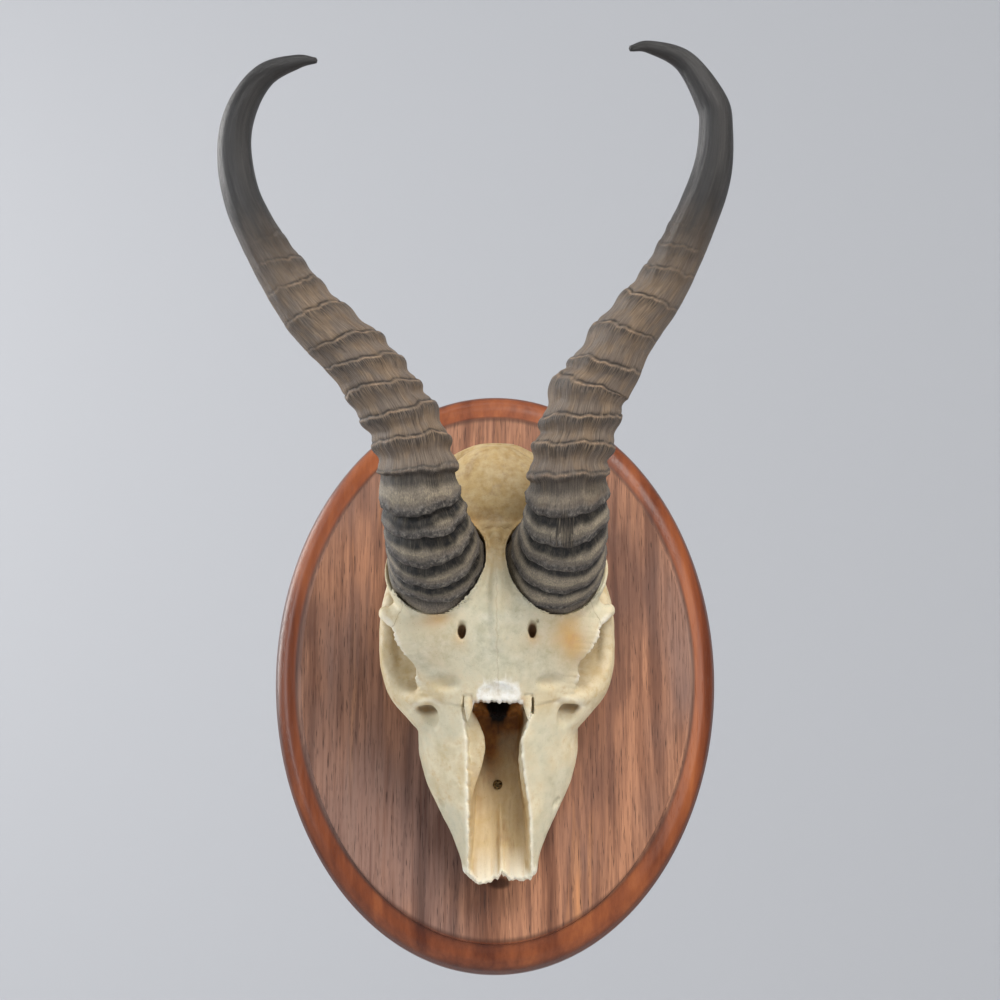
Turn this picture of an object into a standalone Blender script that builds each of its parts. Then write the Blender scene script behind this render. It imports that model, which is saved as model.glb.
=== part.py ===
"""Springbok skull with both horns, hung nose down on an oval walnut plaque.

Millimetres in the tables, metres in the scene. The plaque lies in the XZ plane with its back at Y = 0,
and the skull stands in front of it, towards -Y. Heights h are measured forwards from the plaque's front
face. Skull tables give the right half, x >= 0, and the left half is its mirror image.
"""

import math

import bmesh
import bpy
import numpy as np
from mathutils import Matrix, Vector

MM = 0.001
GAP = 0.3

# Plaque: about 9 by 12 inches, 3/4 inch thick
PLAQUE_WIDTH = 230.0
PLAQUE_HEIGHT = 307.0
PLAQUE_THICKNESS = 19.0
PLAQUE_SEGMENTS = 64
# The routed edge from the flat field outwards: (distance in from the rim, depth behind the front face)
PLAQUE_EDGE = (
    (14.0, 0.0),
    (13.8, 1.3),
    (10.2, 2.8),
    (5.6, 4.4),
    (1.8, 8.0),
    (0.0, 12.6),
    (0.0, 18.2),
    (0.8, 19.0),
)

# Height of the tables' zero on the plaque, for the skull, the horns and the screw
HANG_Z = -6.0
# The skull has a slight turn in the plane of the board, about a pivot between the horns
SKULL_TILT = math.radians(0.77)
SKULL_PIVOT_X = 0.5
SKULL_PIVOT_Z = 60.0

# Palate screw
SCREW_X = 1.4
SCREW_Z = -54.7
SCREW_HEAD_RADIUS = 2.4
SCREW_HEAD_HEIGHT = 1.9
SCREW_SHANK_RADIUS = 1.5
SCREW_DEPTH_IN_BOARD = 12.0
NASAL_FLOOR_AT_SCREW = 19.0

# Skull mesh: voxel of the joined forms and the share of faces kept for the faceted solid
SKULL_VOXEL = 1.25
TOOTH_ROOM_VOXEL = 0.5
SKULL_SMOOTHING = 4
SKULL_FACES_KEPT = 0.0275

# Face, from the broken muzzle to between the orbits: z, then points (x, h) round the right half,
# from the top of the middle to the bottom of the middle
FACE_SECTIONS = (
    (-104.5, ((0, 24.0), (12.5, 25.0), (16.5, 22.5), (18.0, 18.5), (15.5, 14.2), (0, 14.6))),
    (-98.0, ((0, 25.5), (13.5, 27.0), (17.0, 24.0), (18.8, 19.0), (15.8, 13.6), (0, 14.0))),
    (-90.0, ((0, 28.0), (13.5, 30.0), (18.0, 26.0), (20.5, 19.5), (16.5, 13.0), (0, 13.8))),
    (-78.0, ((0, 33.0), (14.5, 35.0), (21.0, 29.0), (25.0, 20.5), (18.0, 12.5), (0, 13.6))),
    (-66.0, ((0, 38.0), (15.2, 40.0), (24.5, 32.0), (31.0, 21.5), (22.5, 12.0), (0, 13.6))),
    (-54.0, ((0, 43.0), (15.8, 45.5), (28.0, 36.0), (36.4, 22.5), (28.0, 11.0), (0, 13.6))),
    (-40.0, ((0, 49.5), (16.5, 52.0), (31.0, 40.5), (39.7, 24.0), (34.5, 10.4), (0, 13.6))),
    (-26.0, ((0, 58.0), (18.0, 58.5), (32.5, 46.0), (40.0, 27.0), (36.0, 10.2), (0, 13.6))),
    (-14.0, ((0, 65.0), (21.0, 62.0), (34.5, 50.0), (39.4, 30.0), (37.0, 10.2), (0, 13.6))),
    (-2.0, ((0, 70.0), (22.0, 67.0), (27.0, 50.0), (34.0, 30.0), (37.0, 10.2), (0, 13.6))),
    (10.0, ((0, 74.0), (22.0, 70.0), (22.5, 50.0), (29.0, 28.0), (35.0, 10.2), (0, 14.2))),
    (18.0, ((0, 78.0), (22.0, 72.0), (21.5, 50.0), (23.0, 30.0), (20.0, 18.0), (0, 22.0))),
    (32.0, ((0, 78.0), (23.0, 72.0), (22.5, 52.0), (18.0, 33.0), (11.0, 26.0), (0, 26.0))),
    (46.0, ((0, 74.0), (25.0, 68.0), (27.0, 52.0), (20.0, 34.0), (11.0, 27.0), (0, 26.0))),
)

# Frontal roof over the orbits: z, half width, height of the middle, height and thickness of the edge
FRONTAL_SECTIONS = (
    (-21.5, 17.0, 66.0, 62.0, 4.0),
    (-16.0, 34.0, 68.5, 55.0, 7.0),
    (-8.0, 40.5, 72.5, 57.5, 7.0),
    (-1.0, 43.0, 76.0, 63.0, 5.0),
    (6.0, 48.0, 79.5, 67.0, 4.0),
    (13.0, 50.8, 82.3, 69.0, 4.0),
    (20.0, 53.2, 84.5, 69.0, 4.0),
    (24.5, 57.2, 85.0, 67.0, 5.0),
    (32.0, 50.0, 85.0, 65.0, 6.0),
    (42.0, 41.0, 83.0, 63.0, 8.0),
    (55.0, 35.0, 79.0, 60.0, 8.0),
    (66.0, 30.0, 75.0, 58.0, 6.0),
)

# Braincase and skull base: centre (x, h, z), radii (x, h, z), turn about X in degrees
CENTRE_LUMPS = (
    ((0, 49.0, 72.0), (33.0, 26.0, 43.0), 21.0),
    ((0, 38.0, 96.0), (32.0, 18.5, 16.5), 10.0),
    ((0, 31.0, 62.0), (24.0, 12.0, 26.0), 0.0),
    ((0, 27.0, 103.0), (18.0, 9.5, 11.0), 0.0),
)
# On both sides: ear bulla, condyle, mastoid, jaw joint, tooth-root swelling, floor of the orbit, the wall
# in front of it
SIDE_LUMPS = (
    ((17.0, 21.5, 84.0), (7.2, 9.4, 12.4), 0.0),
    ((10.0, 21.5, 111.0), (7.0, 8.5, 7.0), 0.0),
    ((30.5, 33.0, 94.0), (8.5, 12.0, 10.5), 0.0),
    ((38.0, 31.0, 66.0), (9.0, 4.5, 9.0), 0.0),
    ((30.5, 21.0, -6.0), (9.5, 12.0, 22.0), 0.0),
    ((41.5, 31.0, 1.0), (14.0, 12.4, 21.0), 4.0),
    ((37.5, 45.0, -14.0), (5.0, 8.0, 5.0), 0.0),
)

# Tubes: points (x, h, z, radius across, radius in height)
ORBIT_RIM = (
    (52.0, 68.0, 20.0, 3.0, 2.8),
    (55.6, 64.5, 25.5, 3.0, 3.4),
    (55.8, 57.0, 28.0, 2.8, 3.2),
    (55.4, 47.5, 28.0, 2.8, 3.2),
    (54.8, 40.0, 24.0, 2.8, 3.4),
    (54.4, 36.0, 13.0, 2.6, 3.4),
    (53.0, 35.0, 2.0, 2.8, 3.6),
    (48.5, 37.5, -8.0, 3.2, 4.0),
    (43.2, 43.0, -14.0, 3.4, 4.0),
    (39.0, 49.0, -15.6, 3.0, 3.4),
)
# Rolled edge over the pit before the orbit
PIT_LEDGE = (
    (27.0, 53.5, -15.0, 1.6, 2.4),
    (33.0, 50.6, -15.4, 2.0, 3.0),
    (39.5, 45.6, -15.4, 2.2, 3.2),
    (42.5, 41.0, -15.0, 2.0, 3.0),
)
CHEEK_ARCH = (
    (35.0, 33.0, -24.0, 5.0, 9.0),
    (41.5, 34.0, -15.5, 5.0, 9.5),
    (48.5, 32.0, -7.0, 4.2, 8.0),
    (53.4, 31.0, 3.0, 3.4, 7.2),
    (55.0, 32.0, 15.0, 3.0, 6.8),
    (54.6, 34.0, 28.0, 3.0, 6.6),
    (52.0, 35.0, 41.0, 3.0, 5.8),
    (47.5, 34.5, 53.0, 3.8, 5.2),
    (40.0, 35.0, 63.0, 6.0, 5.4),
    (30.0, 39.0, 70.0, 9.0, 8.0),
)
NUCHAL_CREST = (
    (0.0, 51.5, 112.5, 2.4, 2.6),
    (10.0, 51.0, 111.5, 2.4, 2.6),
    (20.0, 47.5, 107.5, 2.4, 2.6),
    (28.0, 41.0, 102.5, 2.4, 2.6),
    (34.0, 33.0, 98.5, 2.6, 2.8),
)
PAROCCIPITAL = (
    (27.5, 33.0, 99.0, 8.0, 8.0),
    (27.0, 23.0, 102.0, 6.4, 6.4),
    (26.0, 13.0, 104.5, 4.2, 4.6),
    (25.0, 4.5, 106.0, 2.0, 2.4),
)
EAR_TUBE = (
    (24.0, 27.0, 86.0, 4.2, 4.2),
    (34.0, 28.5, 87.0, 4.0, 4.0),
)
PTERYGOID = (
    (11.5, 20.0, 8.0, 2.2, 8.0),
    (10.8, 20.5, 22.0, 2.0, 9.0),
    (10.0, 21.0, 38.0, 2.0, 9.0),
    (9.5, 22.5, 52.0, 2.0, 7.0),
)
SKULL_BASE_BAR = (
    (0.0, 29.0, 24.0, 6.0, 5.0),
    (0.0, 28.0, 60.0, 9.0, 5.5),
    (0.0, 26.0, 95.0, 10.5, 5.5),
    (0.0, 24.0, 110.0, 9.0, 5.0),
)

# Cuts. The nasal trough: z, how far left and right its edge is, height of that edge, how far left and right
# the floor is, height of the floor
NASAL_TROUGH = (
    (-116.0, 17.4, 17.4, 25.0, 14.6, 14.6, 18.8),
    (-98.0, 16.8, 16.4, 27.0, 14.4, 14.2, 18.8),
    (-86.0, 16.2, 16.0, 33.0, 13.0, 13.0, 18.8),
    (-72.0, 16.0, 15.6, 38.0, 12.2, 12.0, 19.0),
    (-58.0, 16.0, 13.4, 44.0, 11.4, 11.0, 19.0),
    (-46.0, 16.0, 11.8, 49.0, 11.0, 10.0, 19.3),
    (-38.0, 16.0, 11.6, 52.0, 11.0, 9.6, 19.6),
    (-31.0, 16.6, 14.0, 56.0, 11.2, 10.0, 20.2),
    (-26.0, 16.0, 15.4, 58.0, 11.2, 10.6, 20.6),
    (-19.8, 13.4, 13.0, 60.0, 10.6, 10.6, 21.0),
)
# The dark passage above the trough: z, then points (x, h) round the right half
NASAL_PASSAGE = (
    (-24.0, ((0, 58.0), (12.4, 57.0), (8.0, 40.0), (3.0, 27.0), (0, 23.5))),
    (-12.0, ((0, 60.0), (12.0, 59.0), (8.0, 42.0), (3.0, 30.0), (0, 25.0))),
    (0.0, ((0, 63.5), (10.0, 61.0), (7.0, 47.0), (2.5, 36.0), (0, 32.0))),
    (18.0, ((0, 68.0), (6.0, 64.0), (4.0, 52.0), (2.0, 46.0), (0, 44.0))),
)
# The slanting break along the frontal's lower edge
FRONTAL_BREAK = ((0.8, 72.0, -22.5), (11.8, 6.4, 10.0), 0.0)
# On both sides: the orbit, its deeper floor, the pit before the orbit, the frontal hole, the muzzle hole
SIDE_HOLLOWS = (
    ((51.0, 52.0, 8.5), (28.0, 14.0, 17.2), -8.0),
    ((38.0, 50.0, 9.0), (14.0, 9.5, 13.0), 0.0),
    ((35.2, 47.2, -20.6), (4.8, 7.0, 3.2), 38.0),
    ((17.4, 80.0, 13.6), (2.8, 9.0, 4.4), -20.0),
    ((29.5, 27.0, -66.0), (3.0, 2.2, 3.8), 0.0),
)
BRAIN_OPENING = ((0, 33.0, 120.0), (8.5, 8.0, 14.0), 0.0)
# Ragged breaks at the muzzle's end: (x, how far up the break reaches, half width)
MUZZLE_BREAKS = (
    (-0.2, -98.4, 2.6),
    (-16.2, -100.0, 3.0),
    (5.4, -102.4, 1.6),
    (13.4, -101.4, 2.4),
    (18.0, -98.0, 2.4),
    (-5.4, -102.8, 1.2),
)

# Teeth, front to back: name, length along the row, width, x of the crown's middle
TEETH = (
    ("premolar_2", 6.4, 5.2, 23.0),
    ("premolar_3", 7.6, 6.4, 24.6),
    ("premolar_4", 8.0, 8.0, 26.6),
    ("molar_1", 11.6, 9.6, 28.8),
    ("molar_2", 13.8, 10.4, 30.4),
    ("molar_3", 14.4, 10.0, 31.0),
)
TOOTH_ROW_START = -50.5
TOOTH_GAP = 0.4
TOOTH_LOW = 0.4
TOOTH_HIGH = 9.6

# Horns: the middle line and radius over the ridges: (x, h, z, radius)
HORN_LEFT = (
    (-27.8, 72.3, 45.8, 25.0),
    (-28.8, 78.0, 47.9, 25.0),
    (-32.8, 100.8, 58.8, 22.2),
    (-36.4, 114.6, 74.0, 20.8),
    (-38.1, 119.6, 87.8, 20.4),
    (-43.2, 123.6, 104.4, 19.5),
    (-52.0, 127.6, 118.9, 18.5),
    (-65.6, 132.8, 137.2, 17.1),
    (-87.4, 139.7, 157.4, 14.8),
    (-101.0, 144.7, 174.2, 12.8),
    (-114.3, 150.2, 194.3, 10.6),
    (-123.3, 155.3, 214.1, 9.4),
    (-126.6, 160.6, 236.8, 8.4),
    (-122.4, 165.0, 255.3, 7.4),
    (-111.6, 169.3, 269.7, 5.8),
    (-96.0, 173.3, 274.8, 3.5),
    (-86.4, 175.7, 274.6, 1.4),
)
HORN_RIGHT = (
    (29.2, 72.3, 46.3, 25.0),
    (30.0, 78.0, 47.9, 25.0),
    (33.9, 105.2, 57.7, 22.2),
    (35.1, 122.2, 72.0, 20.9),
    (36.0, 128.7, 84.6, 20.6),
    (39.4, 132.4, 97.9, 20.1),
    (44.7, 136.9, 116.7, 19.0),
    (51.2, 139.7, 126.7, 17.8),
    (61.9, 144.6, 144.9, 15.6),
    (80.2, 151.3, 167.4, 13.0),
    (95.2, 158.6, 195.4, 11.2),
    (104.8, 164.9, 220.8, 9.7),
    (107.0, 170.0, 242.9, 8.4),
    (104.4, 172.9, 255.2, 7.9),
    (91.8, 178.2, 273.0, 5.5),
    (74.7, 182.9, 278.5, 3.1),
    (65.2, 185.3, 276.7, 1.4),
)
# Distance of each ridge's lip from the base, along the horn
RIDGES_LEFT = (10, 21, 32, 43, 52.5, 66, 80, 95, 109, 124, 138, 158, 174, 188, 201)
RIDGES_RIGHT = (6.5, 20, 34, 46, 58, 69.5, 82, 96, 111, 124, 143, 162, 179, 191, 202)
# How far the ridges lean down towards the inner side: (distance from the base, slope)
LEAN_LEFT = (
    (0, 0.08),
    (66, 0.04),
    (95, 0.28),
    (124, 0.55),
    (138, 0.57),
    (160, 0.34),
    (190, 0.25),
    (240, 0.0),
)
LEAN_RIGHT = ((0, 0.1), (60, 0.1), (90, 0.28), (150, 0.3), (190, 0.22), (240, 0.0))
HORN_SIDES = 16
HORN_DEPTH_RATIO = 1.06
# A ridge's lip is this thick, and the valley between two lips this share of the radius deep
RIDGE_LIP = 5.0
RIDGE_SHARE = 0.12
TIP_LOOPS = 9


def clear_scene():
    for obj in list(bpy.data.objects):
        bpy.data.objects.remove(obj, do_unlink=True)


def make_material(name, colour, roughness, metallic=0.0):
    mat = bpy.data.materials.new(name)
    mat.use_nodes = True
    shader = mat.node_tree.nodes["Principled BSDF"]
    shader.inputs["Base Color"].default_value = (*colour, 1.0)
    shader.inputs["Roughness"].default_value = roughness
    shader.inputs["Metallic"].default_value = metallic
    return mat


def make_object(name, bm, mat=None):
    """One mesh object from a bmesh whose faces are turned outwards."""
    bmesh.ops.recalc_face_normals(bm, faces=bm.faces)
    mesh = bpy.data.meshes.new(name)
    bm.to_mesh(mesh)
    bm.free()
    if mat:
        mesh.materials.append(mat)
    obj = bpy.data.objects.new(name, mesh)
    bpy.context.scene.collection.objects.link(obj)
    return obj


def make_cutter(name, bm):
    obj = make_object(name, bm)
    obj.hide_render = True
    obj.display_type = "WIRE"
    return obj


def place(x, h, z):
    """Metres from a table's millimetres: h counts forwards from the board, which is -Y."""
    return Vector((x * MM, -h * MM, z * MM))


def skin(bm, rings):
    """Closed body through rings of equal length, with flat ends."""
    loops = [[bm.verts.new(p) for p in ring] for ring in rings]
    count = len(loops[0])
    for low, high in zip(loops, loops[1:]):
        for i in range(count):
            j = (i + 1) % count
            bm.faces.new((low[i], low[j], high[j], high[i]))
    bm.faces.new(loops[0])
    bm.faces.new(loops[-1])


def smooth_line(points, steps):
    """Points on a Catmull-Rom curve through the given points, with steps on each stretch."""
    pts = np.array(points, float)
    pts = np.vstack((2 * pts[0] - pts[1], pts, 2 * pts[-1] - pts[-2]))
    out = []
    for i in range(1, len(pts) - 2):
        p0, p1, p2, p3 = pts[i - 1 : i + 3]
        for t in np.linspace(0, 1, steps, endpoint=False):
            linear = 2 * p1 + (p2 - p0) * t
            square = (2 * p0 - 5 * p1 + 4 * p2 - p3) * t**2
            cube = (3 * p1 - p0 - 3 * p2 + p3) * t**3
            out.append(0.5 * (linear + square + cube))
    out.append(pts[-2])
    return np.array(out)


def mirrored(half):
    """Whole outline from the points of its right half, top middle to bottom middle."""
    left = [(-x, h) for x, h in reversed(half[1:-1])]
    return list(half) + left


def add_sections(bm, sections, steps):
    """Body through cross-sections given as z and the right half's points, rounded in steps."""
    rings = []
    for z, half in sections:
        points = [tuple(p) for p in smooth_line(half, steps)] if steps > 1 else half
        rings.append([place(x, h, z) for x, h in mirrored(points)])
    skin(bm, rings)


def add_frontal(bm):
    """Lens-shaped sections: an arched top and a flatter underside."""
    rings = []
    shares = np.linspace(-1, 1, 21)
    for z, half, middle, edge, thick in FRONTAL_SECTIONS:
        top = [(s * half, middle - (middle - edge) * s * s) for s in shares]
        low = [(s * half, middle - 14 - (middle - 14 - edge + thick) * s * s) for s in reversed(shares)]
        rings.append([place(x, h, z) for x, h in top + low])
    skin(bm, rings)


def add_trough(bm):
    """The open trough, from its floor to far in front of the face."""
    far = 95.0
    rings = []
    for z, left, right, edge, floor_left, floor_right, floor in NASAL_TROUGH:
        outline = ((-left, far), (-left, edge), (-floor_left, floor + 1), (0, floor))
        outline += ((floor_right, floor + 1), (right, edge), (right, far))
        rings.append([place(x, h, z) for x, h in outline])
    skin(bm, rings)


def lump_matrix(centre, radii, turn, side=1):
    x, h, z = centre
    rx, rh, rz = radii
    return (
        Matrix.Translation(place(side * x, h, z))
        @ Matrix.Rotation(math.radians(turn), 4, "X")
        @ Matrix.Diagonal((rx * MM, rh * MM, rz * MM, 1))
    )


def add_lump(bm, centre, radii, turn, side=1):
    matrix = lump_matrix(centre, radii, turn, side)
    bmesh.ops.create_uvsphere(bm, u_segments=28, v_segments=18, radius=1.0, matrix=matrix)


def add_tube(bm, table, side=1, sides=12, steps=3):
    """Tube of changing elliptical section."""
    line = smooth_line([(side * x, h, z, a, b) for x, h, z, a, b in table], steps)
    angles = np.linspace(0, 2 * math.pi, sides, endpoint=False)
    rings = []
    for i, (x, h, z, a, b) in enumerate(line):
        before = Vector(line[max(i - 1, 0)][:3])
        after = Vector(line[min(i + 1, len(line) - 1)][:3])
        along = (after - before).normalized()
        height = Vector((0, 1, 0))
        height = height - along * height.dot(along)
        if height.length < 0.35:
            height = Vector((0, 0, 1)) - along * along.z
        height.normalize()
        across = along.cross(height)
        ring = []
        for t in angles:
            p = Vector((x, h, z)) + across * a * math.cos(t) + height * b * math.sin(t)
            ring.append(place(*p))
        rings.append(ring)
    skin(bm, rings)


def add_box(bm, low, high):
    rings = []
    for z in (low[2], high[2]):
        corners = ((low[0], low[1]), (high[0], low[1]), (high[0], high[1]), (low[0], high[1]))
        rings.append([place(x, h, z) for x, h in corners])
    skin(bm, rings)


def horn_line(table, count=400):
    """Distances, points, radii and directions along a horn, from its base to its tip."""
    line = smooth_line(table, 24)
    steps = np.linalg.norm(np.diff(line[:, :3], axis=0), axis=1)
    length = np.concatenate(([0], np.cumsum(steps)))
    s = np.linspace(0, length[-1], count)
    points = np.stack([np.interp(s, length, line[:, k]) for k in range(3)], axis=1)
    radii = np.interp(s, length, line[:, 3])
    along = np.gradient(points, axis=0)
    along /= np.linalg.norm(along, axis=1)[:, None]
    return s, points, radii, along


def horn_loops(ridges, end):
    """Distances of the rings of points along a horn, each with its depth as a share of a full valley."""
    loops = [(0.0, -0.5)]
    half = RIDGE_LIP / 2
    for lip, after in zip(ridges, ridges[1:] + (None,)):
        loops += [(lip - half, -0.1), (lip + half, -0.1)]
        if after:
            loops.append(((lip + after) / 2 + 0.6, -1.0))
    return loops + [(s, -0.3) for s in np.linspace(ridges[-1] + 9, end, TIP_LOOPS)]


def horn_rings(table, loops, lean, side, grow=0.0):
    """Rings of points along a horn, leaning as the ridges do."""
    s_all, points, radii, along = horn_line(table)
    lean = np.array(lean, float)
    rings = []
    turn = None
    for s, depth in loops:
        centre = np.array([np.interp(s, s_all, points[:, k]) for k in range(3)])
        tangent = np.array([np.interp(s, s_all, along[:, k]) for k in range(3)])
        tangent /= np.linalg.norm(tangent)
        share = min(1.0, s / 60)
        forward = np.array((0.0, share, share - 1))
        forward -= tangent * tangent.dot(forward)
        forward /= np.linalg.norm(forward)
        inward = np.cross(forward, tangent)
        turn = turn or math.copysign(1.0, -side * inward[0])
        inward *= turn
        radius = np.interp(s, s_all, radii)
        valley = RIDGE_SHARE * min(1.0, max(0.15, 1 - (s - 150) / 100))
        uneven = min(0.45, max(0.05, (s - 80) / 100))
        slope = np.interp(s, lean[:, 0], lean[:, 1])
        ring = []
        for k in range(HORN_SIDES):
            t = 2 * math.pi * k / HORN_SIDES
            inner, front = math.cos(t), math.sin(t)
            reach = radius * (1 + depth * valley * (1 - uneven + uneven * inner)) + grow
            p = centre + inward * inner * reach + forward * front * reach * HORN_DEPTH_RATIO
            ring.append(place(*(p - tangent * slope * inner * reach)))
        rings.append(ring)
    return rings


def hang_up(obj):
    """From the tables' zero to its place on the plaque."""
    obj.location = (0, -PLAQUE_THICKNESS * MM, HANG_Z * MM)
    return obj


def make_horn(name, table, ridges, lean, side, mat):
    bm = bmesh.new()
    end = horn_line(table)[0][-1]
    skin(bm, horn_rings(table, horn_loops(ridges, end), lean, side))
    obj = hang_up(make_object(name, bm, mat))
    obj.data.shade_smooth()
    obj.data.set_sharp_from_angle(angle=math.radians(60))
    return obj


def make_horn_seat(name, table, lean, side):
    """Space for a horn's base, a little wider and lower than the horn."""
    bm = bmesh.new()
    loops = [(s, 0.0) for s in np.linspace(0, 40, 8)]
    rings = horn_rings(table, loops, lean, side, grow=0.7)
    along = horn_line(table)[3]
    drop = place(*(along[0] * -GAP))
    rings[0] = [p + drop for p in rings[0]]
    skin(bm, rings)
    return hang_up(make_cutter(name, bm))


def pedicle_tube(table):
    """Bony stub under a horn, from inside the skull to past the horn's base."""
    s_all, points, radii, along = horn_line(table)
    top = points[0] + along[0] * 6
    low = points[0] - along[0] * 26
    return (
        (*low, 14.0, 14.0),
        (*(points[0] - along[0] * 12), 19.5, 19.5),
        (*(points[0] - along[0] * 3), 23.4, 23.4),
        (*top, 23.8, 23.8),
    )


def to_skull(table):
    """A tube's table in the board's own axes, as the skull's tilted axes see it."""
    turn = math.sin(SKULL_TILT)
    out = []
    for x, h, z, a, b in table:
        dx, dz = x - SKULL_PIVOT_X, z - SKULL_PIVOT_Z
        out.append((dx + dz * turn, h, SKULL_PIVOT_Z + dz - dx * turn, a, b))
    return out


def skull_bm():
    bm = bmesh.new()
    add_sections(bm, FACE_SECTIONS, 4)
    add_frontal(bm)
    for lump in CENTRE_LUMPS:
        add_lump(bm, *lump)
    add_tube(bm, SKULL_BASE_BAR)
    for side in (1, -1):
        for lump in SIDE_LUMPS:
            add_lump(bm, *lump, side=side)
        for table in (ORBIT_RIM, PIT_LEDGE, CHEEK_ARCH, NUCHAL_CREST, PAROCCIPITAL, EAR_TUBE, PTERYGOID):
            add_tube(bm, table, side)
    for table in (HORN_LEFT, HORN_RIGHT):
        add_tube(bm, to_skull(pedicle_tube(table)), sides=24)
    return bm


def hollows_bm():
    bm = bmesh.new()
    add_trough(bm)
    add_sections(bm, NASAL_PASSAGE, 1)
    add_lump(bm, *FRONTAL_BREAK)
    add_lump(bm, *BRAIN_OPENING)
    for side in (1, -1):
        for hollow in SIDE_HOLLOWS:
            add_lump(bm, *hollow, side=side)
    for x, top, half in MUZZLE_BREAKS:
        corners = ((x - half, -112.0), (x + half, -112.0), (x + half * 0.3, top), (x - half * 0.3, top))
        skin(bm, [[place(px, h, pz) for px, pz in corners] for h in (5.0, 45.0)])
    return bm


def fit_bm():
    """Boxes a little larger than the teeth, that clear their places."""
    room = 1.0
    bm = bmesh.new()
    for side in (1, -1):
        for name, low, high in tooth_boxes(side):
            corner = (high[0] + room, TOOTH_HIGH + GAP, high[2] + room)
            add_box(bm, (low[0] - room, -2.0, low[2] - room), corner)
    return bm


def tooth_boxes(side):
    """Name, lowest and highest corner of each tooth on one side, front to back."""
    z = TOOTH_ROW_START
    out = []
    for name, length, width, middle in TEETH:
        x = sorted((side * (middle - width / 2), side * (middle + width / 2)))
        word = "right" if side > 0 else "left"
        out.append((f"{name}_{word}", (x[0], TOOTH_LOW, z), (x[1], TOOTH_HIGH, z + length)))
        z += length + TOOTH_GAP
    return out


def make_tooth(name, low, high, side, mat):
    """Crown with a scalloped cheek side, worn to a slope, broad at the top."""
    bm = bmesh.new()
    middle = [(a + b) / 2 for a, b in zip(low, high)]
    half_x, half_z = (high[0] - low[0]) / 2, (high[2] - low[2]) / 2
    outline = ((1.0, -0.7), (0.84, 0.0), (1.0, 0.7), (0.5, 1.0))
    outline += ((-0.7, 1.0), (-1.0, 0.5), (-1.0, -0.5), (-0.7, -1.0), (0.5, -1.0))
    rings = []
    for h, scale in ((low[1], 0.86), (low[1] + 2.2, 0.97), (high[1], 1.0)):
        ring = []
        for u, v in outline:
            worn = 1.6 * max(0.0, -u) if h == low[1] else 0.0
            x = middle[0] + side * u * half_x * scale
            ring.append(place(x, h + worn, middle[2] + v * half_z * scale))
        rings.append(ring)
    skin(bm, rings)
    return make_object(name, bm, mat)


def make_plaque(mat):
    rings = []
    for inset, depth in PLAQUE_EDGE:
        half_x = PLAQUE_WIDTH / 2 - inset
        half_z = PLAQUE_HEIGHT / 2 - inset
        ring = []
        for k in range(PLAQUE_SEGMENTS):
            t = 2 * math.pi * k / PLAQUE_SEGMENTS
            ring.append(place(half_x * math.cos(t), PLAQUE_THICKNESS - depth, half_z * math.sin(t)))
        rings.append(ring)
    bm = bmesh.new()
    skin(bm, rings)
    obj = make_object("plaque", bm, mat)
    obj.data.shade_smooth()
    obj.data.set_sharp_from_angle(angle=math.radians(28))
    return obj


def cylinder_rings(x, z, profile, sides):
    """Rings of a turned shape on a line square to the board, from (radius, h) rows."""
    rings = []
    for radius, h in profile:
        ring = []
        for k in range(sides):
            t = 2 * math.pi * k / sides
            ring.append(place(x + radius * math.cos(t), h, z + radius * math.sin(t)))
        rings.append(ring)
    return rings


def make_screw(mat):
    head = NASAL_FLOOR_AT_SCREW + GAP
    profile = (
        (0.4, -SCREW_DEPTH_IN_BOARD),
        (SCREW_SHANK_RADIUS, -SCREW_DEPTH_IN_BOARD + 3),
        (SCREW_SHANK_RADIUS, head),
        (SCREW_HEAD_RADIUS, head),
        (SCREW_HEAD_RADIUS, head + SCREW_HEAD_HEIGHT * 0.5),
        (SCREW_HEAD_RADIUS * 0.62, head + SCREW_HEAD_HEIGHT),
    )
    bm = bmesh.new()
    skin(bm, cylinder_rings(SCREW_X, SCREW_Z, profile, 12))
    return hang_up(make_object("palate_screw", bm, mat))


def screw_clearance(name, low, floor):
    """Room round the screw: the shank's hole, and a flat seat under the head."""
    bm = bmesh.new()
    hole = SCREW_SHANK_RADIUS + GAP
    seat = SCREW_HEAD_RADIUS + 1.2
    profile = ((hole, low), (hole, floor), (seat, floor), (seat, floor + 6))
    skin(bm, cylinder_rings(SCREW_X, SCREW_Z, profile, 16))
    return hang_up(make_cutter(name, bm))


def add_boolean(obj, cutter):
    cut = obj.modifiers.new(cutter.name, "BOOLEAN")
    cut.operation = "DIFFERENCE"
    cut.solver = "EXACT"
    cut.object = cutter


def add_remesh(obj, voxel):
    """One closed skin round all of the object's overlapping forms."""
    join = obj.modifiers.new("join", "REMESH")
    join.mode = "VOXEL"
    join.voxel_size = voxel * MM


def make_skull(hang, mat):
    skull = make_object("skull", skull_bm(), mat)
    skull.parent = hang
    hollows = make_cutter("skull_hollows", hollows_bm())
    hollows.parent = hang
    add_remesh(hollows, SKULL_VOXEL)
    fit = make_cutter("tooth_room", fit_bm())
    fit.parent = hang
    add_remesh(fit, TOOTH_ROOM_VOXEL)

    add_remesh(skull, SKULL_VOXEL)
    add_boolean(skull, hollows)
    add_remesh(skull, SKULL_VOXEL)
    soften = skull.modifiers.new("soften", "SMOOTH")
    soften.factor = 0.5
    soften.iterations = SKULL_SMOOTHING
    fewer = skull.modifiers.new("fewer", "DECIMATE")
    fewer.ratio = SKULL_FACES_KEPT
    fewer.use_collapse_triangulate = True
    return skull, fit


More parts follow.
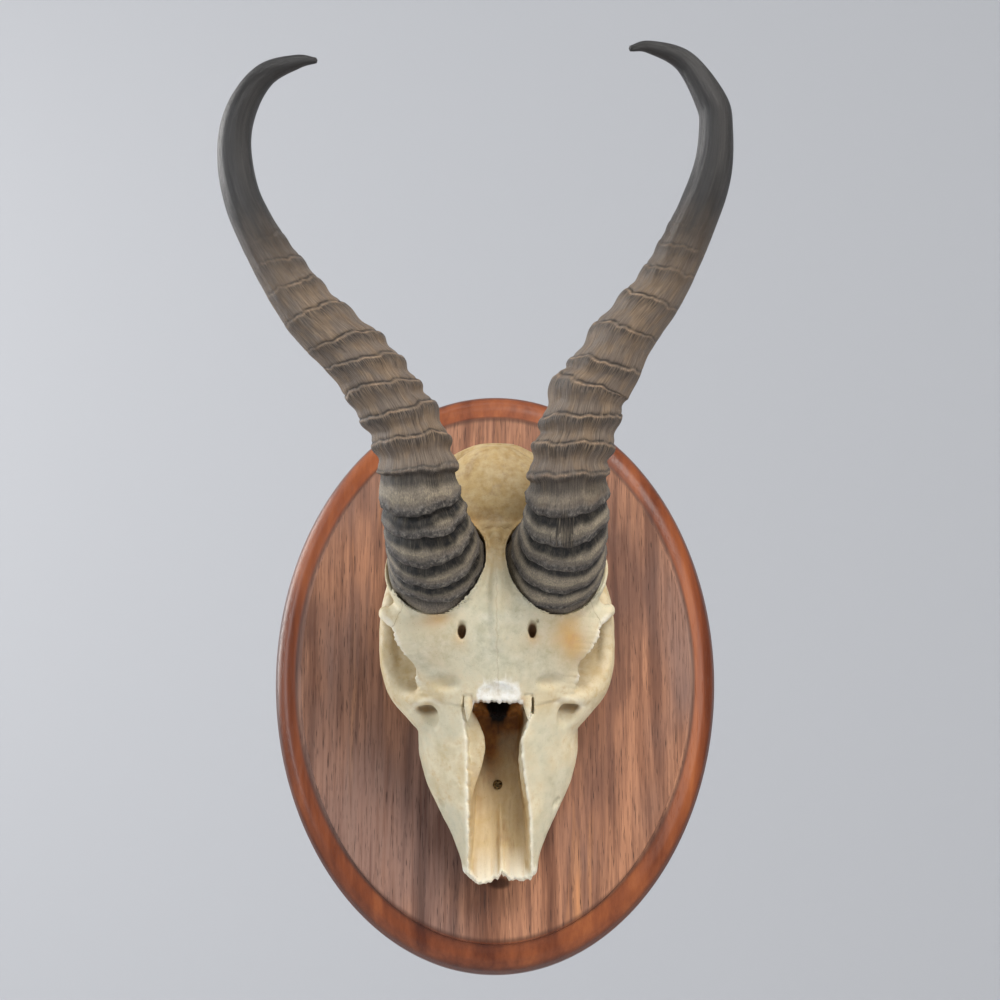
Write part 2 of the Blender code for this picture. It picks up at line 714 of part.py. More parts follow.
def main():
    clear_scene()
    walnut = make_material("walnut", (0.25, 0.11, 0.06), 0.38)
    bone = make_material("bone", (0.68, 0.60, 0.44), 0.6)
    horn = make_material("horn", (0.10, 0.075, 0.055), 0.5)
    enamel = make_material("enamel", (0.72, 0.64, 0.48), 0.35)
    steel = make_material("screw_steel", (0.20, 0.15, 0.09), 0.45, 0.8)

    plaque = make_plaque(walnut)
    hang = bpy.data.objects.new("skull_hang", None)
    bpy.context.scene.collection.objects.link(hang)
    hang.rotation_euler.y = -SKULL_TILT
    turned = SKULL_PIVOT_Z * math.sin(SKULL_TILT)
    hang.location = (
        (SKULL_PIVOT_X + turned) * MM,
        -PLAQUE_THICKNESS * MM,
        (SKULL_PIVOT_Z * (1 - math.cos(SKULL_TILT)) + HANG_Z) * MM,
    )

    skull, fit = make_skull(hang, bone)
    make_horn("horn_left", HORN_LEFT, RIDGES_LEFT, LEAN_LEFT, -1, horn)
    make_horn("horn_right", HORN_RIGHT, RIDGES_RIGHT, LEAN_RIGHT, 1, horn)
    add_boolean(skull, make_horn_seat("seat_left", HORN_LEFT, LEAN_LEFT, -1))
    add_boolean(skull, make_horn_seat("seat_right", HORN_RIGHT, LEAN_RIGHT, 1))
    add_boolean(skull, fit)
    make_screw(steel)
    room = screw_clearance("screw_room", -SCREW_DEPTH_IN_BOARD - GAP, NASAL_FLOOR_AT_SCREW)
    add_boolean(skull, room)
    add_boolean(plaque, room)
    for side in (1, -1):
        for name, low, high in tooth_boxes(side):
            tooth = make_tooth(name, low, high, side, enamel)
            tooth.parent = hang


main()
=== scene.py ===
import math

import bmesh
import bpy
import numpy as np
from mathutils import Matrix, Vector


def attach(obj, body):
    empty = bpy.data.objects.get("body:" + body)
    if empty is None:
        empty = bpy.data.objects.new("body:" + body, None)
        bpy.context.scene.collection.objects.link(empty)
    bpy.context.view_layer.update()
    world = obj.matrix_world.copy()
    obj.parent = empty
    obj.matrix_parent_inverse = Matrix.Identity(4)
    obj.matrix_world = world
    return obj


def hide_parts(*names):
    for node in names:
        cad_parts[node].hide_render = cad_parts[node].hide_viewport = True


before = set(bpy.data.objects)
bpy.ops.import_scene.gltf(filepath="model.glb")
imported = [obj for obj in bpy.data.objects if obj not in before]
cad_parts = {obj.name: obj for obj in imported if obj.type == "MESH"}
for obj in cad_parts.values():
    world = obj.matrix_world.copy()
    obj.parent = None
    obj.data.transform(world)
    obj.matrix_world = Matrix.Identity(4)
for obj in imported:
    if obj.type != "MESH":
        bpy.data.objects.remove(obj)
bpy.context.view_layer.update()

# Tables are in millimetres: x to the right, h forwards from the plaque's front face, z up.
# Skull tables give the right half; the left half is its mirror image.
MM = 0.001
GAP = 0.3

# Plaque
PLAQUE_WIDTH = 230.0
PLAQUE_HEIGHT = 307.0
PLAQUE_THICKNESS = 19.0
PLAQUE_EDGE = (
    (14.0, 0.0),
    (13.8, 1.3),
    (10.2, 2.8),
    (5.6, 4.4),
    (1.8, 8.0),
    (0.0, 12.6),
    (0.0, 18.2),
    (0.8, 19.0),
)

# How things hang
HANG_Z = -6.0
SKULL_TILT = math.radians(0.77)
SKULL_PIVOT_X = 0.5
SKULL_PIVOT_Z = 60.0

# Palate screw
SCREW_X = 1.4
SCREW_Z = -54.7
SCREW_HEAD_RADIUS = 2.4
SCREW_HEAD_HEIGHT = 1.9
SCREW_SHANK_RADIUS = 1.5
SCREW_DEPTH_IN_BOARD = 12.0
NASAL_FLOOR_AT_SCREW = 19.0

# Skull surface: grid step and the most triangles kept
SKULL_STEP = 0.72
SKULL_TRIANGLES = 190000

FACE_SECTIONS = (
    (-106.0, ((0, 23.5), (12.5, 24.5), (16.5, 22.0), (18.2, 18.5), (15.8, 14.4), (0, 14.8))),
    (-98.0, ((0, 25.5), (13.5, 27.0), (17.0, 24.0), (18.8, 19.0), (15.8, 13.6), (0, 14.0))),
    (-90.0, ((0, 28.0), (13.5, 30.0), (18.0, 26.0), (20.5, 19.5), (16.5, 13.0), (0, 13.8))),
    (-78.0, ((0, 33.0), (14.5, 35.0), (21.0, 29.0), (25.0, 20.5), (18.0, 12.5), (0, 13.6))),
    (-66.0, ((0, 38.0), (15.2, 40.0), (24.5, 32.0), (31.0, 21.5), (22.5, 12.0), (0, 13.6))),
    (-54.0, ((0, 43.0), (15.8, 45.5), (28.0, 36.0), (36.4, 22.5), (28.0, 11.0), (0, 13.6))),
    (-40.0, ((0, 49.5), (16.5, 52.0), (31.0, 40.5), (39.7, 24.0), (34.5, 10.4), (0, 13.6))),
    (-26.0, ((0, 58.0), (18.0, 58.5), (32.5, 46.0), (40.0, 27.0), (36.0, 10.2), (0, 13.6))),
    (-14.0, ((0, 65.0), (21.0, 62.0), (34.5, 50.0), (39.4, 30.0), (37.0, 10.2), (0, 13.6))),
    (-2.0, ((0, 70.0), (22.0, 67.0), (27.0, 50.0), (34.0, 30.0), (37.0, 10.2), (0, 13.6))),
    (10.0, ((0, 74.0), (22.0, 70.0), (22.5, 50.0), (29.0, 28.0), (35.0, 10.2), (0, 14.2))),
    (18.0, ((0, 78.0), (22.0, 72.0), (21.5, 50.0), (23.0, 30.0), (20.0, 18.0), (0, 22.0))),
    (32.0, ((0, 78.0), (23.0, 72.0), (22.5, 52.0), (18.0, 33.0), (11.0, 26.0), (0, 26.0))),
    (46.0, ((0, 74.0), (25.0, 68.0), (27.0, 52.0), (20.0, 34.0), (11.0, 27.0), (0, 26.0))),
)

# z, half width, height of the middle, height and thickness of the edge
FRONTAL_SECTIONS = (
    (-21.5, 17.0, 66.0, 62.0, 4.0),
    (-16.0, 34.0, 68.5, 55.0, 7.0),
    (-8.0, 40.5, 72.5, 57.5, 7.0),
    (-1.0, 43.0, 76.0, 63.0, 5.0),
    (6.0, 48.0, 79.5, 67.0, 4.0),
    (13.0, 50.8, 82.3, 69.0, 4.0),
    (20.0, 53.2, 84.5, 69.0, 4.0),
    (24.5, 57.2, 85.0, 67.0, 5.0),
    (32.0, 50.0, 85.0, 65.0, 6.0),
    (42.0, 41.0, 83.0, 63.0, 8.0),
    (55.0, 35.0, 79.0, 60.0, 8.0),
    (66.0, 30.0, 75.0, 58.0, 6.0),
)

# Centre, radii, turn about X in degrees, width of the blend into the rest
CENTRE_LUMPS = (
    ((0, 49.0, 72.0), (33.0, 26.0, 43.0), 21.0, 7.0),
    ((0, 38.0, 96.0), (32.0, 18.5, 16.5), 10.0, 6.0),
    ((0, 31.0, 62.0), (24.0, 12.0, 26.0), 0.0, 6.0),
    ((0, 27.0, 103.0), (18.0, 9.5, 11.0), 0.0, 6.0),
)
SIDE_LUMPS = (
    ((17.0, 21.5, 84.0), (7.2, 9.4, 12.4), 0.0, 5.0),
    ((10.0, 21.5, 111.0), (7.0, 8.5, 7.0), 0.0, 4.0),
    ((30.5, 33.0, 94.0), (8.5, 12.0, 10.5), 0.0, 6.0),
    ((38.0, 31.0, 66.0), (9.0, 4.5, 9.0), 0.0, 4.0),
    ((30.5, 21.0, -6.0), (9.5, 12.0, 22.0), 0.0, 6.0),
    ((41.5, 31.0, 1.0), (14.0, 12.4, 21.0), 4.0, 5.0),
    ((37.5, 45.0, -14.0), (5.0, 8.0, 5.0), 0.0, 4.0),
)
# Tubes: points (x, h, z, radius across, radius in height)
ORBIT_RIM = (
    (52.0, 68.0, 20.0, 2.0, 2.0),
    (55.8, 64.5, 25.0, 2.2, 2.6),
    (56.4, 57.0, 27.0, 2.4, 3.0),
    (55.4, 47.5, 28.0, 2.8, 3.2),
    (54.8, 40.0, 24.0, 2.8, 3.4),
    (54.4, 36.0, 13.0, 2.6, 3.4),
    (53.0, 35.0, 2.0, 2.8, 3.6),
    (48.5, 37.5, -8.0, 3.2, 4.0),
    (43.2, 43.0, -14.0, 3.4, 4.0),
    (39.0, 49.0, -15.6, 3.0, 3.4),
)
CHEEK_ARCH = (
    (35.0, 33.0, -24.0, 5.0, 9.0),
    (41.5, 34.0, -15.5, 5.0, 9.5),
    (48.5, 32.0, -7.0, 4.6, 8.0),
    (52.6, 31.0, 3.0, 4.2, 7.2),
    (53.6, 32.0, 15.0, 4.2, 6.8),
    (53.6, 34.0, 28.0, 4.0, 6.6),
    (52.0, 35.0, 41.0, 3.2, 5.8),
    (47.5, 34.5, 53.0, 3.8, 5.2),
    (40.0, 35.0, 63.0, 6.0, 5.4),
    (30.0, 39.0, 70.0, 9.0, 8.0),
)
MID_RIDGE = (
    (0.0, 77.6, 6.0, 2.0, 2.0),
    (0.0, 82.6, 18.0, 2.2, 2.4),
    (0.0, 84.6, 32.0, 2.2, 2.6),
    (0.0, 83.2, 46.0, 2.4, 2.6),
    (0.0, 77.0, 62.0, 2.6, 2.4),
)
NUCHAL_CREST = (
    (0.0, 51.5, 112.5, 2.4, 2.6),
    (10.0, 51.0, 111.5, 2.4, 2.6),
    (20.0, 47.5, 107.5, 2.4, 2.6),
    (28.0, 41.0, 102.5, 2.4, 2.6),
    (34.0, 33.0, 98.5, 2.6, 2.8),
)
PAROCCIPITAL = (
    (27.5, 33.0, 99.0, 8.0, 8.0),
    (27.0, 23.0, 102.0, 6.4, 6.4),
    (26.0, 13.0, 104.5, 4.2, 4.6),
    (25.0, 4.5, 106.0, 2.0, 2.4),
)
EAR_TUBE = (
    (24.0, 27.0, 86.0, 4.2, 4.2),
    (34.0, 28.5, 87.0, 4.0, 4.0),
)
PTERYGOID = (
    (11.5, 20.0, 8.0, 2.2, 8.0),
    (10.8, 20.5, 22.0, 2.0, 9.0),
    (10.0, 21.0, 38.0, 2.0, 9.0),
    (9.5, 22.5, 52.0, 2.0, 7.0),
)
SKULL_BASE_BAR = (
    (0.0, 29.0, 24.0, 6.0, 5.0),
    (0.0, 28.0, 60.0, 9.0, 5.5),
    (0.0, 26.0, 95.0, 10.5, 5.5),
    (0.0, 24.0, 110.0, 9.0, 5.0),
)
# Rolled edge over the pit before the orbit, and the splinters left beside the nasal opening
PIT_LEDGE = (
    (27.0, 54.0, -15.4, 1.4, 2.2),
    (32.0, 52.6, -16.0, 2.0, 2.8),
    (37.0, 49.4, -16.2, 2.2, 3.0),
    (41.0, 45.0, -15.6, 2.2, 3.0),
    (43.5, 40.5, -15.0, 2.0, 3.0),
)
SPLINTER = (
    (14.0, 62.6, -16.0, 2.6, 2.2),
    (14.6, 61.4, -22.0, 1.8, 1.6),
    (15.2, 58.8, -28.6, 0.5, 0.6),
)

# Nasal trough: z, how far left and right its edge is, height of that edge, how far left and right the
# floor is, height of the floor
NASAL_TROUGH = (
    (-116.0, 17.4, 17.4, 25.0, 14.6, 14.6, 18.8),
    (-98.0, 16.8, 16.4, 27.0, 14.4, 14.2, 18.8),
    (-86.0, 16.2, 16.0, 33.0, 13.0, 13.0, 18.8),
    (-72.0, 16.0, 15.6, 38.0, 12.2, 12.0, 19.0),
    (-58.0, 16.0, 13.4, 44.0, 11.4, 11.0, 19.0),
    (-46.0, 16.0, 11.8, 49.0, 11.0, 10.0, 19.3),
    (-38.0, 16.0, 11.6, 52.0, 11.0, 9.6, 19.6),
    (-31.0, 16.6, 14.0, 56.0, 11.2, 10.0, 20.2),
    (-26.0, 17.4, 16.6, 58.0, 11.2, 10.6, 20.6),
    (-19.0, 17.6, 17.2, 60.0, 10.6, 10.6, 21.0),
)
# Curled inner plates on the trough's walls: points (x, h, z, radius across, radius in height)
PLATE_LEFT = (
    (-15.4, 48.0, -25.0, 4.0, 1.6),
    (-13.6, 46.0, -30.0, 4.6, 1.6),
    (-11.9, 43.0, -36.0, 4.8, 1.5),
    (-12.2, 39.0, -44.0, 4.6, 1.4),
    (-13.6, 35.0, -52.0, 3.2, 1.2),
    (-15.2, 30.0, -63.0, 1.4, 0.9),
)
PLATE_RIGHT = (
    (14.4, 44.0, -34.0, 2.6, 2.0),
    (13.0, 40.0, -46.0, 2.8, 2.0),
    (14.0, 34.0, -62.0, 2.4, 1.8),
)
NASAL_PASSAGE = (
    (-24.0, ((0, 58.0), (12.4, 57.0), (8.0, 40.0), (3.0, 27.0), (0, 23.5))),
    (-12.0, ((0, 60.0), (12.0, 59.0), (8.0, 42.0), (3.0, 30.0), (0, 25.0))),
    (0.0, ((0, 63.5), (10.0, 61.0), (7.0, 47.0), (2.5, 36.0), (0, 32.0))),
    (18.0, ((0, 68.0), (6.0, 64.0), (4.0, 52.0), (2.0, 46.0), (0, 44.0))),
)
FRONTAL_BREAK = ((0.6, 72.0, -22.5), (15.2, 7.2, 10.8), 0.0, 0.6)
ORBIT_HOLLOWS = (
    ((51.0, 52.0, 8.5), (28.0, 14.0, 17.2), -8.0, 1.4),
    ((38.0, 50.0, 9.0), (14.0, 9.5, 13.0), 0.0, 3.0),
)
SIDE_TUBES = ((CHEEK_ARCH, 5), (NUCHAL_CREST, 4), (PAROCCIPITAL, 5), (EAR_TUBE, 3), (PTERYGOID, 3))
SMALL_HOLLOWS = (
    ((35.2, 47.4, -20.6), (5.4, 7.0, 3.2), 38.0, 0.8),
    ((34.6, 47.0, -25.0), (5.0, 4.4, 5.4), 30.0, 2.2),
    ((17.4, 80.0, 13.4), (2.3, 9.0, 3.6), -20.0, 0.6),
    ((17.6, 81.0, 8.4), (1.5, 2.4, 4.4), -14.0, 1.2),
    ((29.5, 27.0, -66.0), (2.8, 2.0, 3.4), 0.0, 0.8),
    ((29.5, 66.6, -11.0), (10.0, 6.0, 4.0), 0.0, 2.5),
    ((17.4, 60.0, -21.6), (0.55, 6.0, 4.6), 0.0, 0.3),
)
EXTRA_HOLE = ((20.0, 84.0, 18.2), (0.95, 5.0, 0.95), -20.0, 0.3)
BRAIN_OPENING = ((0, 33.0, 120.0), (8.5, 8.0, 14.0), 0.0, 1.5)
# Broken end of the muzzle: (x, z)
MUZZLE_EDGE = (
    (-30.0, -97.0),
    (-18.6, -98.5),
    (-16.1, -100.2),
    (-11.5, -104.6),
    (-8.5, -104.2),
    (-5.1, -103.6),
    (-2.6, -101.6),
    (-0.9, -102.2),
    (0.9, -98.6),
    (1.8, -101.0),
    (2.6, -100.2),
    (4.7, -102.7),
    (8.0, -102.4),
    (12.0, -103.2),
    (13.2, -101.9),
    (15.4, -103.0),
    (16.4, -100.6),
    (18.4, -99.5),
    (30.0, -97.0),
)

TEETH = (
    ("premolar_2", 6.4, 5.2, 23.0),
    ("premolar_3", 7.6, 6.4, 24.6),
    ("premolar_4", 8.0, 8.0, 26.6),
    ("molar_1", 11.6, 9.6, 28.8),
    ("molar_2", 13.8, 10.4, 30.4),
    ("molar_3", 14.4, 10.0, 31.0),
)
TOOTH_ROW_START = -50.5
TOOTH_GAP = 0.4
TOOTH_LOW = 0.4
TOOTH_HIGH = 9.6

# Horns: the middle line and radius over the ridges: (x, h, z, radius)
HORN_LEFT = (
    (-27.8, 72.3, 45.8, 25.0),
    (-28.8, 78.0, 47.9, 25.0),
    (-32.8, 100.8, 58.8, 22.2),
    (-36.4, 114.6, 74.0, 20.8),
    (-38.1, 119.6, 87.8, 20.4),
    (-43.2, 123.6, 104.4, 19.5),
    (-52.0, 127.6, 118.9, 18.5),
    (-65.6, 132.8, 137.2, 17.1),
    (-87.4, 139.7, 157.4, 14.8),
    (-101.0, 144.7, 174.2, 12.8),
    (-114.3, 150.2, 194.3, 10.6),
    (-123.3, 155.3, 214.1, 9.4),
    (-126.6, 160.6, 236.8, 8.4),
    (-122.4, 165.0, 255.3, 7.4),
    (-111.6, 169.3, 269.7, 5.8),
    (-96.0, 173.3, 274.8, 3.5),
    (-86.4, 175.7, 274.6, 1.4),
)
HORN_RIGHT = (
    (29.2, 72.3, 46.3, 25.0),
    (30.0, 78.0, 47.9, 25.0),
    (33.9, 105.2, 57.7, 22.2),
    (35.1, 122.2, 72.0, 20.9),
    (36.0, 128.7, 84.6, 20.6),
    (39.4, 132.4, 97.9, 20.1),
    (44.7, 136.9, 116.7, 19.0),
    (51.2, 139.7, 126.7, 17.8),
    (61.9, 144.6, 144.9, 15.6),
    (80.2, 151.3, 167.4, 13.0),
    (95.2, 158.6, 195.4, 11.2),
    (104.8, 164.9, 220.8, 9.7),
    (107.0, 170.0, 242.9, 8.4),
    (104.4, 172.9, 255.2, 7.9),
    (91.8, 178.2, 273.0, 5.5),
    (74.7, 182.9, 278.5, 3.1),
    (65.2, 185.3, 276.7, 1.4),
)
RIDGES_LEFT = (10, 21, 32, 43, 52.5, 66, 80, 95, 109, 124, 138, 158, 174, 188, 201)
RIDGES_RIGHT = (6.5, 20, 34, 46, 58, 69.5, 82, 96, 111, 124, 143, 162, 179, 191, 202)
LEAN_LEFT = (
    (0, 0.08), (66, 0.04), (95, 0.28), (124, 0.55),
    (138, 0.57), (160, 0.34), (190, 0.25), (240, 0.0),
)
LEAN_RIGHT = ((0, 0.1), (60, 0.1), (90, 0.28), (150, 0.3), (190, 0.22), (240, 0.0))
HORN_DEPTH_RATIO = 1.06
# Brown stains on the forehead: x and z of the middle, half width, half height, strength
BONE_STAINS = (
    (37, 12, 7, 9, 0.8),
    (33, 8, 15, 16, 0.4),
    (-31, 6, 13, 15, 0.2),
    (-30, 19, 10, 3.5, 0.5),
    (-18, 9, 3.4, 4, 0.55),
    (18, 9, 3.4, 4, 0.55),
)
HORN_RINGS = 600
HORN_SIDES = 160


def smooth_line(points, steps):
    """Points on a Catmull-Rom curve through the given points, with steps on each stretch."""
    pts = np.array(points, float)
    pts = np.vstack((2 * pts[0] - pts[1], pts, 2 * pts[-1] - pts[-2]))
    out = []
    for i in range(1, len(pts) - 2):
        p0, p1, p2, p3 = pts[i - 1 : i + 3]
        for t in np.linspace(0, 1, steps, endpoint=False):
            linear = 2 * p1 + (p2 - p0) * t
            square = (2 * p0 - 5 * p1 + 4 * p2 - p3) * t**2
            cube = (3 * p1 - p0 - 3 * p2 + p3) * t**3
            out.append(0.5 * (linear + square + cube))
    out.append(pts[-2])
    return np.array(out)


def ease(low, high, value):
    """0 below low, 1 above high and a smooth rise between them; low may be the larger."""
    t = np.clip((value - low) / (high - low), 0, 1)
    return t * t * (3 - 2 * t)


def point_noise(points, cell, seed, octaves=1):
    """Smooth noise of about -1 to 1 at each of the points, with features of about the cell's size."""
    total = np.zeros(len(points))
    for k in range(octaves):
        p = points / (cell / 2**k)
        low = np.floor(p.min(axis=0)).astype(int) - 1
        size = np.floor(p.max(axis=0)).astype(int) - low + 3
        values = np.random.default_rng(seed + 31 * k).uniform(-1, 1, size)
        base = np.floor(p).astype(int)
        t = p - base
        t = t * t * (3 - 2 * t)
        base -= low
        out = np.zeros(len(points))
        for corner in range(8):
            step = [(corner >> a) & 1 for a in range(3)]
            weight = np.prod([t[:, a] if step[a] else 1 - t[:, a] for a in range(3)], axis=0)
            out += weight * values[base[:, 0] + step[0], base[:, 1] + step[1], base[:, 2] + step[2]]
        total += out / 2**k
    return total


class Solid:
    """Signed distances on a grid of skull coordinates, below zero inside the bone."""

    def __init__(self, low, high, step):
        self.low = np.array(low, float)
        self.step = step
        self.axes = [np.arange(low[k], high[k] + step, step) for k in range(3)]
        self.field = np.full([len(a) for a in self.axes], 30.0, np.float32)

    def window(self, low, high, pad):
        """The part of the grid round a box, and its coordinates."""
        slices = []
        for k in range(3):
            first = int(np.clip((low[k] - pad - self.low[k]) / self.step, 0, len(self.axes[k]) - 2))
            last = int(np.clip((high[k] + pad - self.low[k]) / self.step + 2, 2, len(self.axes[k])))
            slices.append(slice(first, last))
        x, h, z = [a[s] for a, s in zip(self.axes, slices)]
        return tuple(slices), x[:, None, None], h[None, :, None], z[None, None, :]

    def merge(self, where, distance, blend, cut=False):
        """Adds a shape, or cuts it out, with a rounded seam of the blend's width."""
        ours = self.field[where]
        distance = -distance if cut else distance
        mix = np.maximum(blend - np.abs(ours - distance), 0) / blend
        seam = mix * mix * blend * 0.25
        self.field[where] = np.maximum(ours, distance) + seam if cut else np.minimum(ours, distance) - seam

    def lump(self, centre, radii, turn, blend, side=1, cut=False):
        reach = max(radii)
        centre = np.array((side * centre[0], centre[1], centre[2]))
        where, x, h, z = self.window(centre - reach, centre + reach, blend + 4)
        a = math.radians(turn)
        # turned about X in the scene's axes, where forwards is -Y
        y, up = -(h - centre[1]), z - centre[2]
        fore = -(y * math.cos(a) + up * math.sin(a))
        rise = -y * math.sin(a) + up * math.cos(a)
        u, v, w = (x - centre[0]) / radii[0], fore / radii[1], rise / radii[2]
        k0 = np.sqrt(u * u + v * v + w * w)
        k1 = np.sqrt((u / radii[0]) ** 2 + (v / radii[1]) ** 2 + (w / radii[2]) ** 2)
        self.merge(where, k0 * (k0 - 1) / np.maximum(k1, 1e-6), blend, cut)

    def tube(self, table, blend, side=1, cut=False, steps=4):
        line = smooth_line([(side * x, h, z, a, b) for x, h, z, a, b in table], steps)
        for p, q in zip(line, line[1:]):
            reach = max(p[3], p[4], q[3], q[4])
            low, high = np.minimum(p, q)[:3] - reach, np.maximum(p, q)[:3] + reach
            where, x, h, z = self.window(low, high, blend + 3)
            along = q[:3] - p[:3]
            t = ((x - p[0]) * along[0] + (h - p[1]) * along[1] + (z - p[2]) * along[2]) / along.dot(along)
            t = np.clip(t, 0, 1)
            dx, dh, dz = x - p[0] - t * along[0], h - p[1] - t * along[1], z - p[2] - t * along[2]
            unit = along / np.linalg.norm(along)
            tall = np.array((0.0, 1.0, 0.0)) - unit * unit[1]
            if np.linalg.norm(tall) < 0.35:
                tall = np.array((0.0, 0.0, 1.0)) - unit * unit[2]
            tall /= np.linalg.norm(tall)
            up = dx * tall[0] + dh * tall[1] + dz * tall[2]
            flat = np.sqrt(np.maximum(dx * dx + dh * dh + dz * dz - up * up, 0))
            a = p[3] + t * (q[3] - p[3])
            b = p[4] + t * (q[4] - p[4])
            k0 = np.sqrt((flat / a) ** 2 + (up / b) ** 2)
            k1 = np.sqrt((flat / a**2) ** 2 + (up / b**2) ** 2)
            distance = np.where(k1 > 1e-5, k0 * (k0 - 1) / np.maximum(k1, 1e-5), -np.minimum(a, b))
            self.merge(where, distance, blend, cut)

    def sections(self, table, blend, steps=5, cut=False, rough=None):
        """Body through right-half outlines at rising z, mirrored."""
        zs = np.array([row[0] for row in table])
        halves = np.array([smooth_line(row[1], steps) if steps > 1 else row[1] for row in table])
        low = (-halves[..., 0].max(), halves[..., 1].min(), zs[0])
        high = (halves[..., 0].max(), halves[..., 1].max(), zs[-1])
        where, x, h, z = self.window(low, high, blend + 3)
        flat = np.abs(x[:, 0, 0])[:, None]
        tall = h[0, :, 0][None, :]
        out = np.empty((x.shape[0], h.shape[1], z.shape[2]), np.float32)
        for k, level in enumerate(z[0, 0]):
            inside = min(max(level, zs[0]), zs[-1])
            outline = self.between(zs, halves, inside)
            if rough:
                outline = rough(outline, inside)
            distance = outline_distance(outline, flat, tall)
            beyond = max(zs[0] - level, level - zs[-1])
            out[:, :, k] = np.maximum(distance, beyond) if beyond > -3 else distance
        self.merge(where, out, blend, cut)

    def between(self, zs, halves, level):
        i = int(np.clip(np.searchsorted(zs, level) - 1, 0, len(zs) - 2))
        t = (level - zs[i]) / (zs[i + 1] - zs[i])
        slope = []
        for j in (i, i + 1):
            a, b = max(j - 1, 0), min(j + 1, len(zs) - 1)
            slope.append((halves[b] - halves[a]) / (zs[b] - zs[a]) * (zs[i + 1] - zs[i]))
        h00, h10 = 2 * t**3 - 3 * t**2 + 1, t**3 - 2 * t**2 + t
        h01, h11 = -2 * t**3 + 3 * t**2, t**3 - t**2
        return h00 * halves[i] + h10 * slope[0] + h01 * halves[i + 1] + h11 * slope[1]

    def surface(self):
        """Vertices and quads of the zero level."""
        f = self.field
        inside = f < 0
        count = np.zeros([n - 1 for n in f.shape], np.int8)
        for corner in range(8):
            count += inside[self.corner(corner)]
        active = (count > 0) & (count < 8)
        number = np.full(active.shape, -1, np.int64)
        cells = np.argwhere(active)
        number[active] = np.arange(len(cells))
        total = np.zeros((len(cells), 3))
        hits = np.zeros(len(cells))
        values = [f[self.corner(c)][active] for c in range(8)]
        for a in range(8):
            for axis in range(3):
                if (a >> axis) & 1:
                    continue
                b = a | (1 << axis)
                cross = (values[a] < 0) != (values[b] < 0)
                t = values[a][cross] / (values[a][cross] - values[b][cross])
                spot = np.array([(a >> k) & 1 for k in range(3)], float)
                place = np.repeat(spot[None], cross.sum(), axis=0)
                place[:, axis] += t
                total[cross] += place
                hits[cross] += 1
        verts = (cells + total / hits[:, None]) * self.step + self.low
        quads = []
        for axis in range(3):
            one = [slice(None)] * 3
            two = [slice(None)] * 3
            one[axis], two[axis] = slice(0, -1), slice(1, None)
            change = inside[tuple(one)] != inside[tuple(two)]
            spots = np.argwhere(change)
            u, v = [k for k in range(3) if k != axis]
            ok = (spots[:, u] > 0) & (spots[:, v] > 0)
            ok &= (spots[:, u] < f.shape[u] - 1) & (spots[:, v] < f.shape[v] - 1)
            spots = spots[ok]
            ring = []
            for du, dv in ((-1, -1), (0, -1), (0, 0), (-1, 0)):
                cell = spots.copy()
                cell[:, u] += du
                cell[:, v] += dv
                ring.append(number[cell[:, 0], cell[:, 1], cell[:, 2]])
            quad = np.stack(ring, axis=1)
            flip = inside[spots[:, 0], spots[:, 1], spots[:, 2]]
            if axis == 1:
                flip = ~flip
            quad[flip] = quad[flip][:, ::-1]
            quads.append(quad)
        return verts, np.vstack(quads)

    @staticmethod
    def corner(c):
        return tuple(slice(1, None) if (c >> k) & 1 else slice(0, -1) for k in range(3))


def outline_distance(outline, flat, tall):
    """Signed distance in one slice from a right-half outline that is closed along the middle."""
    best = np.full((flat.shape[0], tall.shape[1]), 1e9)
    odd = np.zeros(best.shape, bool)
    left = outline[::-1].copy()
    left[:, 0] *= -1
    ring = np.vstack((outline, left[1:]))
    for p, q in zip(ring, ring[1:]):
        ex, eh = q - p
        wx, wh = flat - p[0], tall - p[1]
        t = np.clip((wx * ex + wh * eh) / max(ex * ex + eh * eh, 1e-9), 0, 1)
        best = np.minimum(best, (wx - t * ex) ** 2 + (wh - t * eh) ** 2)
        if q[1] != p[1]:
            crossing = (p[1] > tall) != (q[1] > tall)
            odd ^= crossing & (flat < (tall - p[1]) * ex / eh + p[0])
    return np.where(odd, -np.sqrt(best), np.sqrt(best))


def frontal_outline(half, middle, edge, thick):
    shares = np.linspace(0, 1, 11)
    top = [(s * half, middle - (middle - edge) * s * s) for s in shares]
    low = [(s * half, middle - 14 - (middle - 14 - edge + thick) * s * s) for s in shares[::-1]]
    return tuple(top + low)


def skull_to_scene(points):
    """Scene metres from skull coordinates: the slight turn on the board, then the place."""
    x, h, z = points[:, 0], points[:, 1], points[:, 2] - SKULL_PIVOT_Z
    c, s = math.cos(SKULL_TILT), math.sin(SKULL_TILT)
    across, up = x * c - z * s + SKULL_PIVOT_X, x * s + z * c + SKULL_PIVOT_Z + HANG_Z
    return np.stack((across, -h - PLAQUE_THICKNESS, up), 1) * MM


def to_skull(points):
    """Skull coordinates of points in the board's own axes."""
    points = np.array(points, float)
    c, s = math.cos(SKULL_TILT), math.sin(SKULL_TILT)
    x, z = points[..., 0] - SKULL_PIVOT_X, points[..., 2] - SKULL_PIVOT_Z
    out = points.copy()
    out[..., 0] = x * c + z * s
    out[..., 2] = -x * s + z * c + SKULL_PIVOT_Z
    return out


